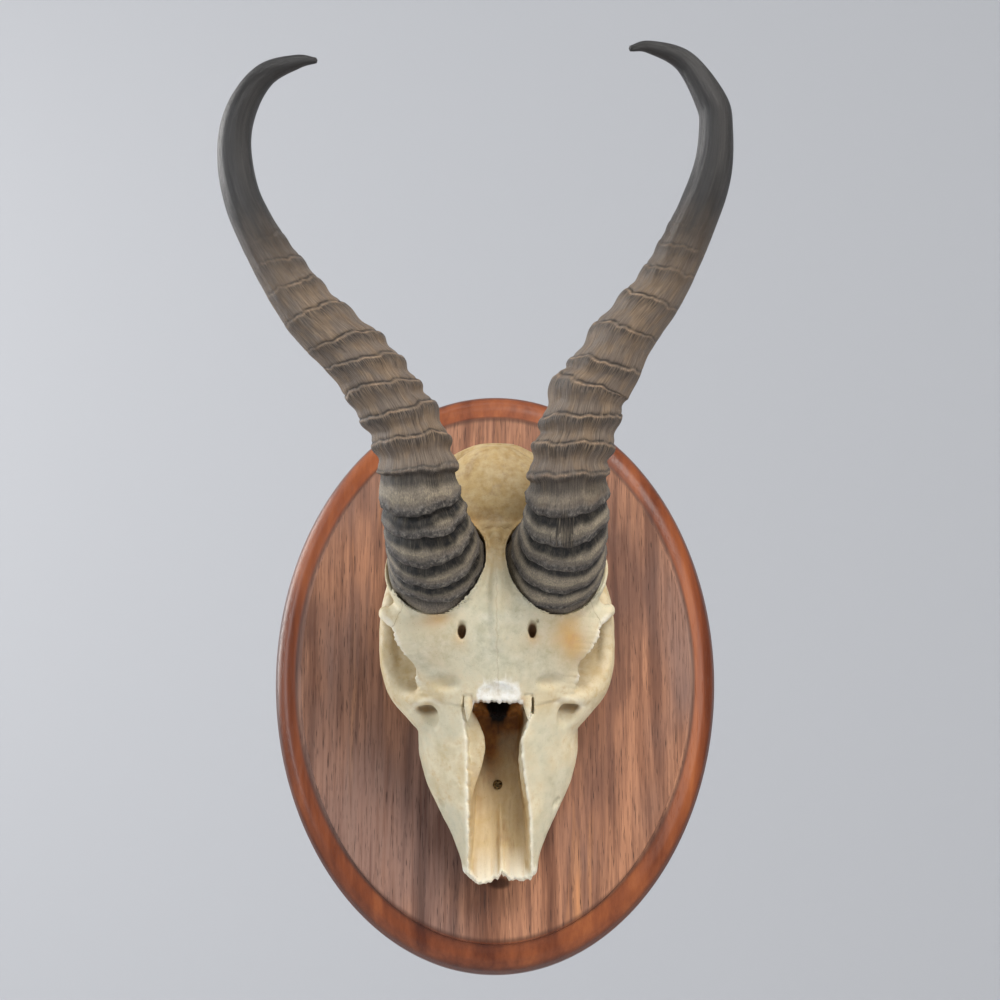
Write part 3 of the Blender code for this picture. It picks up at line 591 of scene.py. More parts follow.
def horn_line(table, count=1200):
    """Distances, points, radii and directions along a horn, from its base to its tip."""
    line = smooth_line(table, 40)
    steps = np.linalg.norm(np.diff(line[:, :3], axis=0), axis=1)
    length = np.concatenate(([0], np.cumsum(steps)))
    s = np.linspace(0, length[-1], count)
    points = np.stack([np.interp(s, length, line[:, k]) for k in range(3)], axis=1)
    radii = np.interp(s, length, line[:, 3])
    along = np.gradient(points, axis=0)
    for _ in range(30):
        along[1:-1] = (along[:-2] + along[1:-1] * 2 + along[2:]) / 4
    along /= np.linalg.norm(along, axis=1)[:, None]
    return s, points, radii, along


def new_object(name, verts, faces, smooth=True):
    """Mesh object from arrays of scene metres and of faces of equal length."""
    mesh = bpy.data.meshes.new(name)
    faces = np.asarray(faces)
    mesh.vertices.add(len(verts))
    mesh.vertices.foreach_set("co", np.asarray(verts, np.float32).ravel())
    mesh.loops.add(faces.size)
    mesh.loops.foreach_set("vertex_index", faces.astype(np.int32).ravel())
    mesh.polygons.add(len(faces))
    starts = np.arange(0, faces.size, faces.shape[1], dtype=np.int32)
    mesh.polygons.foreach_set("loop_start", starts)
    mesh.update(calc_edges=True)
    mesh.validate()
    if smooth:
        mesh.shade_smooth()
    obj = bpy.data.objects.new(name, mesh)
    bpy.context.scene.collection.objects.link(obj)
    return obj


def attribute(obj, name, values):
    values = np.asarray(values, np.float32)
    kind = "FLOAT_VECTOR" if values.ndim == 2 else "FLOAT"
    layer = obj.data.attributes.new(name, kind, "POINT")
    layer.data.foreach_set("vector" if values.ndim == 2 else "value", values.ravel())


def vertices_of(obj):
    out = np.empty(len(obj.data.vertices) * 3, np.float32)
    obj.data.vertices.foreach_get("co", out)
    return out.reshape(-1, 3).astype(float)


def applied(obj):
    """The object with its modifiers made real."""
    deps = bpy.context.evaluated_depsgraph_get()
    mesh = bpy.data.meshes.new_from_object(obj.evaluated_get(deps))
    old = obj.data
    obj.modifiers.clear()
    obj.data = mesh
    bpy.data.meshes.remove(old)
    return obj


def cut_trough(solid):
    """The open nasal trough, with uneven edges and a low ridge along the front part of its floor."""
    where, x, h, z = solid.window((-20, 14, -116), (20, 94, -16), 2)
    rows = np.array(NASAL_TROUGH)
    left, right, edge, floor_left, floor_right, floor = [
        np.interp(z[0, 0], rows[:, 0], rows[:, k])[None, None, :] for k in range(1, 7)
    ]
    rise = np.clip((h - floor - 1.0) / (edge - floor), 0, 1)
    jag = 0.35 * np.sin(z * 0.73) + 0.25 * np.sin(z * 1.61 + 1) + 0.16 * np.sin(z * 3.3 + 2) * np.sin(z * 0.9)
    left = floor_left + (left - floor_left) * rise + jag * rise
    right = floor_right + (right - floor_right) * rise + 0.8 * jag[:, :, ::-1] * rise
    ridge = 1.8 * np.exp(-(((x - 0.6) / 1.3) ** 2)) * ease(-60, -70, z)
    groove = 0.9 * np.exp(-((np.abs(x - 0.6) / 3.6 - 1.2) ** 2) * 4) * ease(-60, -70, z)
    bowl = 0.012 * x * x
    end = -19.8 - 0.35 * np.sin(x * 2.4) - 0.35 * np.sin(x * 1.1 + 1) - 0.035 * x
    end = np.where(np.abs(x) > 12.6, -16.5, end)
    cut = np.maximum(np.maximum(-left - x, x - right), np.maximum(floor + ridge - groove + bowl - h, z - end))
    solid.merge(where, cut, 0.6, cut=True)


def cut_horn_seat(solid, table, lean, side):
    """Room for the horn's base, in the horn's own slanting ring shape."""
    s, points, radii, along = horn_line(table)
    tangent = along[0]
    forward = np.array((0.0, 0.0, -1.0))
    forward -= tangent * tangent.dot(forward)
    forward /= np.linalg.norm(forward)
    inward = np.cross(forward, tangent)
    inward *= math.copysign(1.0, -side * inward[0])
    origin = to_skull(points[0])
    axes = [to_skull(points[0] + v) - origin for v in (inward, forward, tangent)]
    where, x, h, z = solid.window(origin - 40, origin + 46, 0)
    a, b, up = [(x - origin[0]) * v[0] + (h - origin[1]) * v[1] + (z - origin[2]) * v[2] for v in axes]
    bend = points[int(np.searchsorted(s, 12))] - points[0]
    share = np.clip(up, 0, 20) / 12
    a = a - share * bend.dot(inward)
    b = b - share * bend.dot(forward)
    up = up + lean[0][1] * a
    spread = np.sqrt(a * a + (b / HORN_DEPTH_RATIO) ** 2)
    room = np.interp(up.ravel(), s, radii).reshape(up.shape) + 0.35
    solid.merge(where, np.maximum(-up - GAP, spread - room), 0.4, cut=True)
    outer = ease(8, -6, b + 0.4 * a) * ease(6, -8, a)
    wide = 25.3 + np.maximum(7.0 * outer, 2.6 * ease(-4, -14, b) * ease(8, -4, a))
    floor = 0.9 + 2.0 * outer * ease(25, 30, spread)
    solid.merge(where, np.maximum(floor - up, spread - wide), 1.2, cut=True)


def build_skull():
    solid = Solid((-64, -1, -111), (64, 94, 124), SKULL_STEP)

    def ragged_edge(outline, z):
        """Small uneven scallops along the brow's edge."""
        wave = abs(math.sin(z * 1.25)) + 0.6 * abs(math.sin(z * 2.3 + 1)) + 0.4 * math.sin(z * 0.7)
        out = outline.copy()
        out[:, 0] *= 1 + (0.02 * (wave - 0.8) if z < 22 else 0) * (outline[:, 0] / outline[:, 0].max()) ** 4
        return out

    solid.sections(FACE_SECTIONS, 1.0)
    frontal = [(row[0], frontal_outline(*row[1:])) for row in FRONTAL_SECTIONS]
    solid.sections(frontal, 3.0, steps=1, rough=ragged_edge)
    solid.tube(MID_RIDGE, 3.0)
    for lump in CENTRE_LUMPS:
        solid.lump(*lump)
    solid.tube(SKULL_BASE_BAR, 5.0)
    for side in (1, -1):
        for lump in SIDE_LUMPS:
            solid.lump(*lump, side)
        for table, blend in SIDE_TUBES:
            solid.tube(table, blend, side)
    for table in (HORN_LEFT, HORN_RIGHT):
        s, points, radii, along = horn_line(table)
        stub = []
        for shift, radius in ((-26, 14.0), (-12, 20.0), (-3, 24.6), (6, 24.6)):
            stub.append((*to_skull(points[0] + along[0] * shift), radius, radius))
        solid.tube(stub, 5.0, steps=3)

    for side in (1, -1):
        for lump in ORBIT_HOLLOWS:
            solid.lump(*lump, side, cut=True)
    for side in (1, -1):
        solid.tube(ORBIT_RIM, 2.0, side, steps=3)
        solid.tube(PIT_LEDGE, 1.6, side)
    cut_trough(solid)
    solid.tube(PLATE_LEFT, 1.0)
    solid.tube(PLATE_RIGHT, 1.0)
    solid.sections(NASAL_PASSAGE, 1.5, steps=1, cut=True)
    for lump in (FRONTAL_BREAK, BRAIN_OPENING, EXTRA_HOLE):
        solid.lump(*lump, cut=True)
    for side in (1, -1):
        solid.tube(SPLINTER, 0.8, side, steps=3)
        for lump in SMALL_HOLLOWS:
            solid.lump(*lump, side, cut=True)

    # the broken end of the muzzle
    where, x, h, z = solid.window((-32, 0, -112), (32, 60, -92), 2)
    edge = np.interp(x, [p[0] for p in MUZZLE_EDGE], [p[1] for p in MUZZLE_EDGE])
    edge = edge + 0.5 * np.sin(h * 1.7 + x) + 0.4 * np.sin(h * 0.9 + x * 2.2)
    solid.merge(where, (z - edge) * 0.8, 0.5, cut=True)

    for table, lean, side in ((HORN_LEFT, LEAN_LEFT, -1), (HORN_RIGHT, LEAN_RIGHT, 1)):
        cut_horn_seat(solid, table, lean, side)

    verts, quads = solid.surface()
    obj = new_object("skull_bone", verts, quads)
    soften = obj.modifiers.new("soften", "SMOOTH")
    soften.factor = 0.5
    soften.iterations = 2
    fewer = obj.modifiers.new("fewer", "DECIMATE")
    fewer.ratio = min(1.0, SKULL_TRIANGLES / (2 * len(quads)))
    applied(obj)
    p = vertices_of(obj)
    mesh = obj.data
    normals = np.empty(len(p) * 3, np.float32)
    mesh.vertices.foreach_get("normal", normals)
    normals = normals.reshape(-1, 3)
    shift = 0.22 * point_noise(p, 9.0, 5, 2) + 0.08 * point_noise(p, 2.4, 6, 2)
    p += normals * shift[:, None]
    x, h, z = p.T
    side_x = np.abs(x)
    mottle = point_noise(p, 14.0, 11, 3)
    fine = point_noise(p, 3.0, 12, 2)

    inside_nose = ease(17.0, 13.5, side_x) * ease(46, 30, h + 0.25 * (z + 50)) * ease(-8, -30, z)
    # Painted shade in the nose: the deep mask darkens the passage behind the broken forehead, a streak where the
    # left plate's shadow falls, and the back part of the trough.
    passage = ease(14, 11, side_x) * ease(66.5, 63.5, h) * ease(14, 20, h)
    passage = passage * ease(-30, -22, z) * ease(40, 30, z)
    streak = np.exp(-(((x + 5.0 + 0.05 * (z + 24)) / 4.5) ** 2)) * ease(-68, -32, z) * ease(40, 30, h) * 0.85
    deep = np.clip(passage + streak + ease(15, 12, side_x) * ease(-52, -24, z) * ease(44, 32, h) * 0.6, 0, 1)
    attribute(obj, "nose", inside_nose)
    attribute(obj, "deep", deep)
    # Painted shadow: near black in a V on the passage's floor, where no light reaches.
    black = ease(1.2, -0.6, side_x - 0.64 * (z + 26.5)) * ease(-27.5, -25.5, z)
    attribute(obj, "black", passage * black)
    tan = ease(36, 66, z + mottle * 8)
    # The orbit's floor under the brow gets part of its tan as painted shade.
    tan = np.maximum(tan, ease(60, 52, h) * ease(36, 44, side_x) * ease(-20, -8, z) * 0.35)
    attribute(obj, "tan", np.clip(tan, 0, 1))
    broad = point_noise(p, 26.0, 15, 2)
    grey = ease(-24, -4, z + mottle * 4) * ease(52, 34, z) * ease(60, 40, side_x + 9 * broad)
    patches = 0.75 * ease(0.0, 0.7, broad + 0.4 * mottle) * ease(-14, -34, z) * (1 - inside_nose)
    grey = np.maximum(grey * ease(58, 66, h), patches)
    attribute(obj, "grey", grey)
    centre, radii = FRONTAL_BREAK[:2]
    near = sum(((p[:, k] - centre[k]) / (radii[k] + (2.4, 0.4, 0.4)[k])) ** 2 for k in range(3)) ** 0.5
    break_and_brow_highlight = ease(1.1, 1.02, near + 0.012 * fine) * ease(60, 62, h)
    torn_edge = ease(2.2, 0.8, z + 21.0 + 0.4 * fine) * ease(13.0, 12, side_x) * ease(57, 60, h)
    break_and_brow_highlight = np.maximum(break_and_brow_highlight, torn_edge)
    rim_x = np.interp(z, [r[0] for r in FRONTAL_SECTIONS], [r[1] for r in FRONTAL_SECTIONS])
    # Painted highlight along the brow's outer edge, given at 0.45 in the whitening of the broken edges.
    brow = ease(2.0, 0.5, rim_x - side_x) * ease(-12, -8, z) * ease(25, 20, z) * ease(54, 58, h)
    attribute(obj, "break_and_brow_highlight", np.maximum(break_and_brow_highlight, 0.45 * brow))
    trough = np.array(NASAL_TROUGH)
    left, right, top = [np.interp(z, trough[:, 0], trough[:, k]) for k in (1, 2, 3)]
    wall = np.where(x < 0, -left, right)
    lip = np.exp(-(((x - wall) / 1.1) ** 2)) * ease(-5, -1, h - top) * ease(-20, -26, z)
    # Painted shade: dark brown inside the forehead's foramina and in the pit before each orbit.
    hole = ease(2.8, 1.6, np.hypot(side_x - 17.4, (z - 13.4) * 0.65)) * ease(80.0, 77.0, h) * ease(68, 72, h)
    pit = ease(1.25, 0.8, np.hypot((side_x - 35.2) / 6.0, (z + 20.0) / 3.6)) * ease(48.5, 45.5, h)
    pit = pit * ease(36, 38, h) * ease(-24.5, -20, z)
    attribute(obj, "hole", np.clip(0.85 * hole + 0.6 * pit, 0, 1))
    ends = np.interp(x, [q[0] for q in MUZZLE_EDGE], [q[1] for q in MUZZLE_EDGE])
    # A painted highlight along the rolled ledge over each pit; the rim mask also pales the muzzle's broken end
    # and the trough's top edges.
    ledge = 0.6 * np.exp(-(((z + 16.9 + 0.05 * (side_x - 36) ** 2 + 0.4 * fine) / 1.1) ** 2))
    ledge = ledge * ease(26, 30, side_x) * ease(46, 42, side_x) * ease(40, 44, h)
    attribute(obj, "rim", np.maximum(np.maximum(ease(4.5, 1.0, z - ends), lip), ledge))
    stain = 0
    for place_x, place_z, wide, tall, share in BONE_STAINS:
        stain = stain + np.exp(-(((x - place_x) / wide) ** 2 + ((z - place_z) / tall) ** 2)) * share
    stain += np.exp(-(((side_x - 13) / 5) ** 2 + ((z - 68) / 8) ** 2)) * 0.6
    attribute(obj, "stain", np.clip(stain * (0.8 + 0.4 * mottle) * ease(58, 64, h), 0, 1))
    attribute(obj, "seam", x - 0.25 * np.sin(z * 0.9) - 0.2 * np.sin(z * 2.3 + 1) - 0.3 * fine)
    crown = z - 66 + 0.018 * x**2 + 0.5 * np.sin(x * 1.7) + 0.4 * np.sin(x * 3.9)
    attribute(obj, "crown", np.where(h > 45, crown, 9))
    mesh.vertices.foreach_set("co", skull_to_scene(p).astype(np.float32).ravel())
    mesh.update()
    mesh.shade_smooth()
    return obj


def horn_relief(s, angle, ridges, seed):
    """Depth under the horn's outer size at distances s (rows) and angles (columns), and its parts."""
    rng = np.random.default_rng(seed)
    lips = []
    for i, middle in enumerate(ridges):
        wave = 0
        for k, size in ((1, 0.4), (2, 0.4), (3, 0.4), (5, 0.35), (8, 0.3), (13, 0.22), (21, 0.14)):
            wave = wave + size * np.sin(k * angle + rng.uniform(0, 6.28))
        lips.append(middle + wave * (0.9 if middle < 70 else 1.15))
    lips = [np.full_like(angle, -9.0)] + lips + [np.full_like(angle, ridges[-1] + 22.0)]
    level = np.zeros((len(s), len(angle)))
    masks = {name: np.zeros_like(level) for name in ("lip", "crest", "crease", "under", "fringe_shadow", "shelf")}
    rows = s[:, None]
    half = np.interp(s, (0, 50, 80, 120), (2.1, 2.1, 1.8, 1.6))[:, None]
    bowl = np.interp(s, (0, 50, 90), (1.7, 1.6, 1.0))[:, None]
    soft = ease(54, 78, rows)
    for low, high in zip(lips, lips[1:]):
        d = rows - low[None, :]
        gap = (high - low)[None, :]
        here = (d >= 0) & (d < gap)
        foot = gap - half - 1.7
        t = np.clip((d - half) / (foot - half), 0, 1)
        fall = -(0.2 + 0.8 * t**bowl)
        fall = np.where(d < half, -0.2 * (d / half) ** 2, fall)
        up = ease(0, 1.7, d - foot)
        value = fall * (1 - up) - up * 0.16 * np.clip((gap - d) / half, 0, 1) ** 2
        off = np.where(d > gap / 2, d - gap, d)
        swell = -((0.5 - 0.5 * np.cos(2 * math.pi * (d / gap + 0.13))) ** 1.15)
        swell -= 0.22 * np.exp(-(((off - 0.9) / 1.1) ** 2))
        value = value * (1 - soft) + swell * soft
        level = np.where(here, value, level)
        parts = {
            "lip": np.maximum(ease(1.5, 0.2, d), ease(half + 0.6, half - 0.7, gap - d)) * (1 - soft),
            # crest: a painted highlight along the top of each upper lip.
            "crest": np.exp(-(((off + 1.0) / 0.6) ** 2)) * soft,
            # crease: painted shade in the groove along each upper lip, which is also cut into the relief.
            "crease": np.exp(-(((off - 0.3) / 0.6) ** 2)) * soft,
            # under: painted shadow in the valley beneath each of the lower lips.
            "under": ease(-5.2, -2.4, d - foot) * ease(2.2, 1.2, d - foot) * (1 - soft) * ease(3, 8, rows),
            # The shadow fringe is a painted shadow below each upper crest, streaked along the fibres.
            "fringe_shadow": ease(-8.0, -2.0, off) * ease(-0.8, -1.8, off) * soft,
            "shelf": ease(half - 0.3, half + 0.8, d) * ease(0.75, 0.35, d / gap),
        }
        for name, value in parts.items():
            masks[name] = np.where(here, value, masks[name])
    return level * ease(0.5, 11, rows), masks


def build_horn(name, table, ridges, lean, side, seed):
    s_all, points, radii, along = horn_line(table)
    end = s_all[-1]
    s = np.linspace(0, end, HORN_RINGS)
    angle = np.linspace(0, 2 * math.pi, HORN_SIDES, endpoint=False)
    centre, tangent = [
        np.stack([np.interp(s, s_all, rows[:, k]) for k in range(3)], axis=1) for rows in (points, along)
    ]
    tangent /= np.linalg.norm(tangent, axis=1)[:, None]
    share = np.clip(s / 60, 0, 1)
    forward = np.stack((0 * s, share, share - 1), axis=1)
    forward -= tangent * (tangent * forward).sum(axis=1)[:, None]
    forward /= np.linalg.norm(forward, axis=1)[:, None]
    inward = np.cross(forward, tangent)
    inward *= math.copysign(1.0, -side * inward[0, 0])
    radius = np.interp(s, s_all, radii)
    slope = np.interp(s, [p[0] for p in lean], [p[1] for p in lean])
    level, masks = horn_relief(s, angle, ridges, seed)
    lip, crease = masks["lip"], masks["crease"]
    inner = np.cos(angle)[None, :]
    front = np.sin(angle)[None, :]
    rows = s[:, None]
    fade = np.clip(1 - (rows - 150) / 75, 0.0, 1)
    fade = fade * ease(end - 60, end - 110, rows)
    uneven = np.clip((rows - 80) / 100, 0.05, 0.45)
    depth = radius[:, None] * np.interp(rows, (0, 60, 90), (0.15, 0.15, 0.13)) * fade
    depth = depth * (1 - uneven + uneven * inner)
    grain = np.stack(
        (
            np.repeat(np.cos(angle)[None], len(s), 0) * 20,
            np.repeat(np.sin(angle)[None], len(s), 0) * 20,
            np.repeat(rows, len(angle), 1),
        ),
        axis=-1,
    ).reshape(-1, 3)
    stretched = grain * (1, 1, 0.09)
    fibre = point_noise(stretched, 2.2, seed + 1, 2).reshape(level.shape)
    lumps = point_noise(grain, 3.2, seed + 2, 2).reshape(level.shape)
    broad = point_noise(grain * (1, 1, 0.5), 14, seed + 3, 2).reshape(level.shape)
    knobs = point_noise(grain * (1, 1, 1.6), 6.0, seed + 4, 3).reshape(level.shape)
    ringed = ease(215, 190, rows)
    relief = level * depth - 0.5 * crease * np.minimum(depth, 1.0)
    thick = np.minimum(1, radius[:, None] / 12)
    rough = 0.5 * lumps * (0.2 + lip) * np.interp(rows, (50, 90), (1.0, 0.45)) + 0.1 * fibre * (1 - lip)
    relief += ringed * rough + 0.35 * broad * thick
    relief += 0.75 * knobs * lip * ease(66, 50, rows) * ease(4, 10, rows)
    relief = np.minimum(relief, 0.7)
    relief += (1 - ringed) * 0.07 * fibre * np.minimum(1, radius[:, None] / 6)
    droop = ease(-0.6, -0.05, level) * fade * ease(2, 6, rows)
    droop = droop * np.interp(rows, (50, 66, 80), (1.0, 0.3, 0.0))
    reach = radius[:, None] + relief - 0.25 * thick
    verts = (
        centre[:, None, :]
        + inward[:, None, :] * (inner * reach)[..., None]
        + forward[:, None, :] * (front * reach * HORN_DEPTH_RATIO)[..., None]
        - tangent[:, None, :] * (slope[:, None] * inner * reach + droop)[..., None]
    ).reshape(-1, 3)
    tip = centre[-1] + tangent[-1] * radius[-1] * 0.5
    verts = np.vstack((verts, centre[0], tip))
    n = HORN_SIDES
    row, col = np.meshgrid(np.arange(len(s) - 1), np.arange(n), indexing="ij")
    a = row * n + col
    b = row * n + (col + 1) % n
    quads = np.stack((a, b, b + n, a + n), axis=-1).reshape(-1, 4)
    mesh_verts = np.stack((verts[:, 0], -verts[:, 1] - PLAQUE_THICKNESS, verts[:, 2] + HANG_Z), axis=1) * MM
    obj = new_object(name, mesh_verts, quads)
    bm = bmesh.new()
    bm.from_mesh(obj.data)
    bm.verts.ensure_lookup_table()
    last = (len(s) - 1) * n
    for k in range(n):
        j = (k + 1) % n
        bm.faces.new((bm.verts[len(s) * n], bm.verts[j], bm.verts[k])).smooth = True
        bm.faces.new((bm.verts[len(s) * n + 1], bm.verts[last + k], bm.verts[last + j])).smooth = True
    bmesh.ops.recalc_face_normals(bm, faces=bm.faces)
    bm.to_mesh(obj.data)
    bm.free()

    def pad(values):
        """The values with two more, for the middle of the base and the tip."""
        return np.concatenate((values.ravel(), (values[0, 0], values[-1, 0])))

    shown = ringed * np.clip(fade * (1.6 - uneven * (1 - inner)), 0, 1)
    for word, mask in masks.items():
        attribute(obj, word, pad(mask * shown))
    fray_s, fray_angle = (50.0, 1.5) if side > 0 else (-99.0, 0.0)
    turn = np.abs((angle - fray_angle + math.pi) % (2 * math.pi) - math.pi)[None, :]
    attribute(obj, "fray", pad(np.exp(-(((rows - fray_s) / 9) ** 2) - (turn / 0.42) ** 2)))
    attribute(obj, "along", pad(np.repeat(rows, n, 1)))
    attribute(obj, "grain", np.vstack((grain, grain[0], grain[-1])))
    return obj


def build_plaque():
    edge = smooth_line(PLAQUE_EDGE[1:6], 8)
    profile = [PLAQUE_EDGE[0], (13.95, 0.25)] + [tuple(p) for p in edge]
    profile += [(0.0, 15.5), PLAQUE_EDGE[6], (0.3, 18.75), PLAQUE_EDGE[7]]
    segments = 320
    t = np.linspace(0, 2 * math.pi, segments, endpoint=False)
    verts = []
    for inset, depth in profile:
        x = (PLAQUE_WIDTH / 2 - inset) * np.cos(t)
        z = (PLAQUE_HEIGHT / 2 - inset) * np.sin(t)
        verts.append(np.stack((x, np.full_like(x, depth - PLAQUE_THICKNESS), z), axis=1))
    count = len(profile)
    row, col = np.meshgrid(np.arange(count - 1), np.arange(segments), indexing="ij")
    a = row * segments + col
    b = row * segments + (col + 1) % segments
    quads = np.stack((a, b, b + segments, a + segments), axis=-1).reshape(-1, 4)
    obj = new_object("plaque_wood", np.vstack(verts) * MM, quads)
    bm = bmesh.new()
    bm.from_mesh(obj.data)
    bm.verts.ensure_lookup_table()
    front = [bm.verts[k] for k in range(segments)]
    back = [bm.verts[(count - 1) * segments + k] for k in range(segments)]
    hole = []
    for k in range(24):
        a = 2 * math.pi * k / 24
        x, z = SCREW_X + 1.8 * math.cos(a), SCREW_Z + HANG_Z + 1.8 * math.sin(a)
        hole.append(bm.verts.new((x * MM, -PLAQUE_THICKNESS * MM, z * MM)))
    rim = [bm.edges.get((front[k], front[(k + 1) % segments])) for k in range(segments)]
    mouth = [bm.edges.new((hole[k], hole[(k + 1) % 24])) for k in range(24)]
    bmesh.ops.bridge_loops(bm, edges=rim + mouth)
    deep = []
    for v in hole:
        deep.append(bm.verts.new(v.co + Vector((0, 12.3 * MM, 0))))
    for k in range(24):
        bm.faces.new((hole[k], hole[(k + 1) % 24], deep[(k + 1) % 24], deep[k]))
    bm.faces.new(deep)
    bm.faces.new(back)
    bmesh.ops.recalc_face_normals(bm, faces=bm.faces)
    bm.to_mesh(obj.data)
    bm.free()
    obj.data.shade_smooth()
    obj.data.set_sharp_from_angle(angle=math.radians(32))
    return obj


def sharp_object(bm, name, degrees):
    """Object from a finished bmesh, smooth except at the edges that turn by more than the degrees."""
    bmesh.ops.recalc_face_normals(bm, faces=bm.faces)
    mesh = bpy.data.meshes.new(name)
    bm.to_mesh(mesh)
    bm.free()
    mesh.shade_smooth()
    mesh.set_sharp_from_angle(angle=math.radians(degrees))
    obj = bpy.data.objects.new(name, mesh)
    bpy.context.scene.collection.objects.link(obj)
    return obj


def build_tooth(name, length, width, middle, start, side):
    """Crown with lobes on the cheek side and a worn, sloping chewing face."""
    lobes = 2 if length > 9 else 1
    bm = bmesh.new()
    rings = []
    heights = (TOOTH_LOW, 0.9, 2.2, 4.5, 7.0, TOOTH_HIGH - 0.1)
    scales = (0.8, 0.9, 0.96, 1.0, 0.98, 0.93)
    count = 48
    for h, scale in zip(heights, scales):
        ring = []
        for k in range(count):
            a = 2 * math.pi * k / count
            u, v = math.cos(a), math.sin(a)
            u = math.copysign(abs(u) ** 0.62, u)
            v = math.copysign(abs(v) ** 0.62, v)
            notch = 1.0
            if lobes > 1:
                notch -= 0.13 * abs(u) * (0.5 + 0.5 * math.cos(math.pi * lobes * (v + 1)))
            worn = 1.5 * max(0.0, -u) * (h < 1)
            x = side * (middle + u * notch * width / 2 * scale)
            z = start + length / 2 + v * length / 2 * (0.9 + 0.1 * scale)
            ring.append((x, h + worn + 0.12 * math.sin(7 * a) * (h < 1), z))
        rings.append(ring)
    verts = skull_to_scene(np.array([p for ring in rings for p in ring]))
    made = [bm.verts.new(p) for p in verts]
    for r in range(len(rings) - 1):
        for k in range(count):
            a, b = r * count + k, r * count + (k + 1) % count
            bm.faces.new((made[a], made[b], made[b + count], made[a + count]))
    bm.faces.new(made[:count])
    bm.faces.new(made[-count:])
    return sharp_object(bm, name, 50)


def build_screw():
    """Round-headed screw with a cross recess."""
    head = NASAL_FLOOR_AT_SCREW + GAP
    profile = [(0.02, -SCREW_DEPTH_IN_BOARD), (SCREW_SHANK_RADIUS, -SCREW_DEPTH_IN_BOARD + 3)]
    profile += [(SCREW_SHANK_RADIUS, head), (SCREW_HEAD_RADIUS, head), (SCREW_HEAD_RADIUS, head + 0.5)]
    for k in range(1, 9):
        a = math.pi / 2 * k / 9
        radius = SCREW_HEAD_RADIUS * math.cos(a)
        profile.append((radius, head + 0.5 + (SCREW_HEAD_HEIGHT - 0.5) * math.sin(a)))
    bm = bmesh.new()
    loops = []
    for radius, h in profile:
        ring = []
        for k in range(32):
            a = 2 * math.pi * k / 32
            slot = min(abs(math.cos(a)), abs(math.sin(a))) < 0.2 and radius < 1.4 and h > head
            p = (SCREW_X + radius * math.cos(a), h - 0.7 * slot, SCREW_Z + radius * math.sin(a))
            ring.append(bm.verts.new((p[0] * MM, (-p[1] - PLAQUE_THICKNESS) * MM, (p[2] + HANG_Z) * MM)))
        loops.append(ring)
    for low, high in zip(loops, loops[1:]):
        for k in range(32):
            j = (k + 1) % 32
            bm.faces.new((low[k], low[j], high[j], high[k]))
    bm.faces.new(loops[0])
    bm.faces.new(loops[-1])
    return sharp_object(bm, "screw_head", 40)


class Shader:
    """Short ways to add and join shader nodes."""

    def __init__(self, name):
        self.mat = bpy.data.materials.new(name)
        self.mat.use_nodes = True
        self.tree = self.mat.node_tree
        self.main = self.tree.nodes["Principled BSDF"]

    def node(self, kind, **values):
        made = self.tree.nodes.new(kind)
        for key, value in values.items():
            setattr(made, key, value)
        return made

    def plug(self, socket, value):
        if isinstance(value, bpy.types.NodeSocket):
            self.tree.links.new(value, socket)
        elif isinstance(value, tuple) and len(value) == 3 and socket.type == "RGBA":
            socket.default_value = (*value, 1.0)
        else:
            socket.default_value = value

    def attribute(self, name, vector=False):
        made = self.node("ShaderNodeAttribute", attribute_name=name)
        return made.outputs["Vector" if vector else "Fac"]

    def place(self, scale=(1000, 1000, 1000), source=None):
        """Coordinates in millimetres, stretched."""
        mapping = self.node("ShaderNodeMapping")
        source = source or self.node("ShaderNodeTexCoord").outputs["Object"]
        self.plug(mapping.inputs["Vector"], source)
        mapping.inputs["Scale"].default_value = scale
        return mapping.outputs["Vector"]

    def noise(self, vector, scale, detail=3.0, rough=0.55, distortion=0.0):
        made = self.node("ShaderNodeTexNoise")
        self.plug(made.inputs["Vector"], vector)
        made.inputs["Scale"].default_value = scale
        made.inputs["Detail"].default_value = detail
        made.inputs["Roughness"].default_value = rough
        made.inputs["Distortion"].default_value = distortion
        return made.outputs["Fac"]

    def math(self, operation, a, b=0.0, clamp=False):
        made = self.node("ShaderNodeMath", operation=operation, use_clamp=clamp)
        self.plug(made.inputs[0], a)
        self.plug(made.inputs[1], b)
        return made.outputs[0]

    def span(self, value, low, high, to_low=0.0, to_high=1.0):
        made = self.node("ShaderNodeMapRange", interpolation_type="SMOOTHSTEP")
        self.plug(made.inputs["Value"], value)
        for key, number in (("From Min", low), ("From Max", high), ("To Min", to_low), ("To Max", to_high)):
            made.inputs[key].default_value = number
        return made.outputs["Result"]

    def ramp(self, value, stops):
        made = self.node("ShaderNodeValToRGB")
        self.plug(made.inputs["Fac"], value)
        elements = made.color_ramp.elements
        while len(elements) < len(stops):
            elements.new(0.5)
        for element, (at, colour) in zip(elements, stops):
            element.position = at
            element.color = (*colour, 1.0)
        return made.outputs["Color"]

    def mix(self, factor, a, b, blend="MIX"):
        made = self.node("ShaderNodeMix", data_type="RGBA", blend_type=blend)
        self.plug(made.inputs[0], factor)
        self.plug(made.inputs[6], a)
        self.plug(made.inputs[7], b)
        return made.outputs[2]

    def bump(self, height, strength, distance, below=None):
        made = self.node("ShaderNodeBump")
        made.inputs["Strength"].default_value = strength
        made.inputs["Distance"].default_value = distance
        self.plug(made.inputs["Height"], height)
        if below is not None:
            self.plug(made.inputs["Normal"], below)
        return made.outputs["Normal"]

    def put(self, **values):
        for key, value in values.items():
            self.plug(self.main.inputs[key.replace("_", " ")], value)
        return self.mat


def srgb(r, g, b):
    """Linear colour from 0 to 255 values."""
    out = []
    for v in (r, g, b):
        v /= 255
        out.append(v / 12.92 if v <= 0.04045 else ((v + 0.055) / 1.055) ** 2.4)
    return tuple(out)


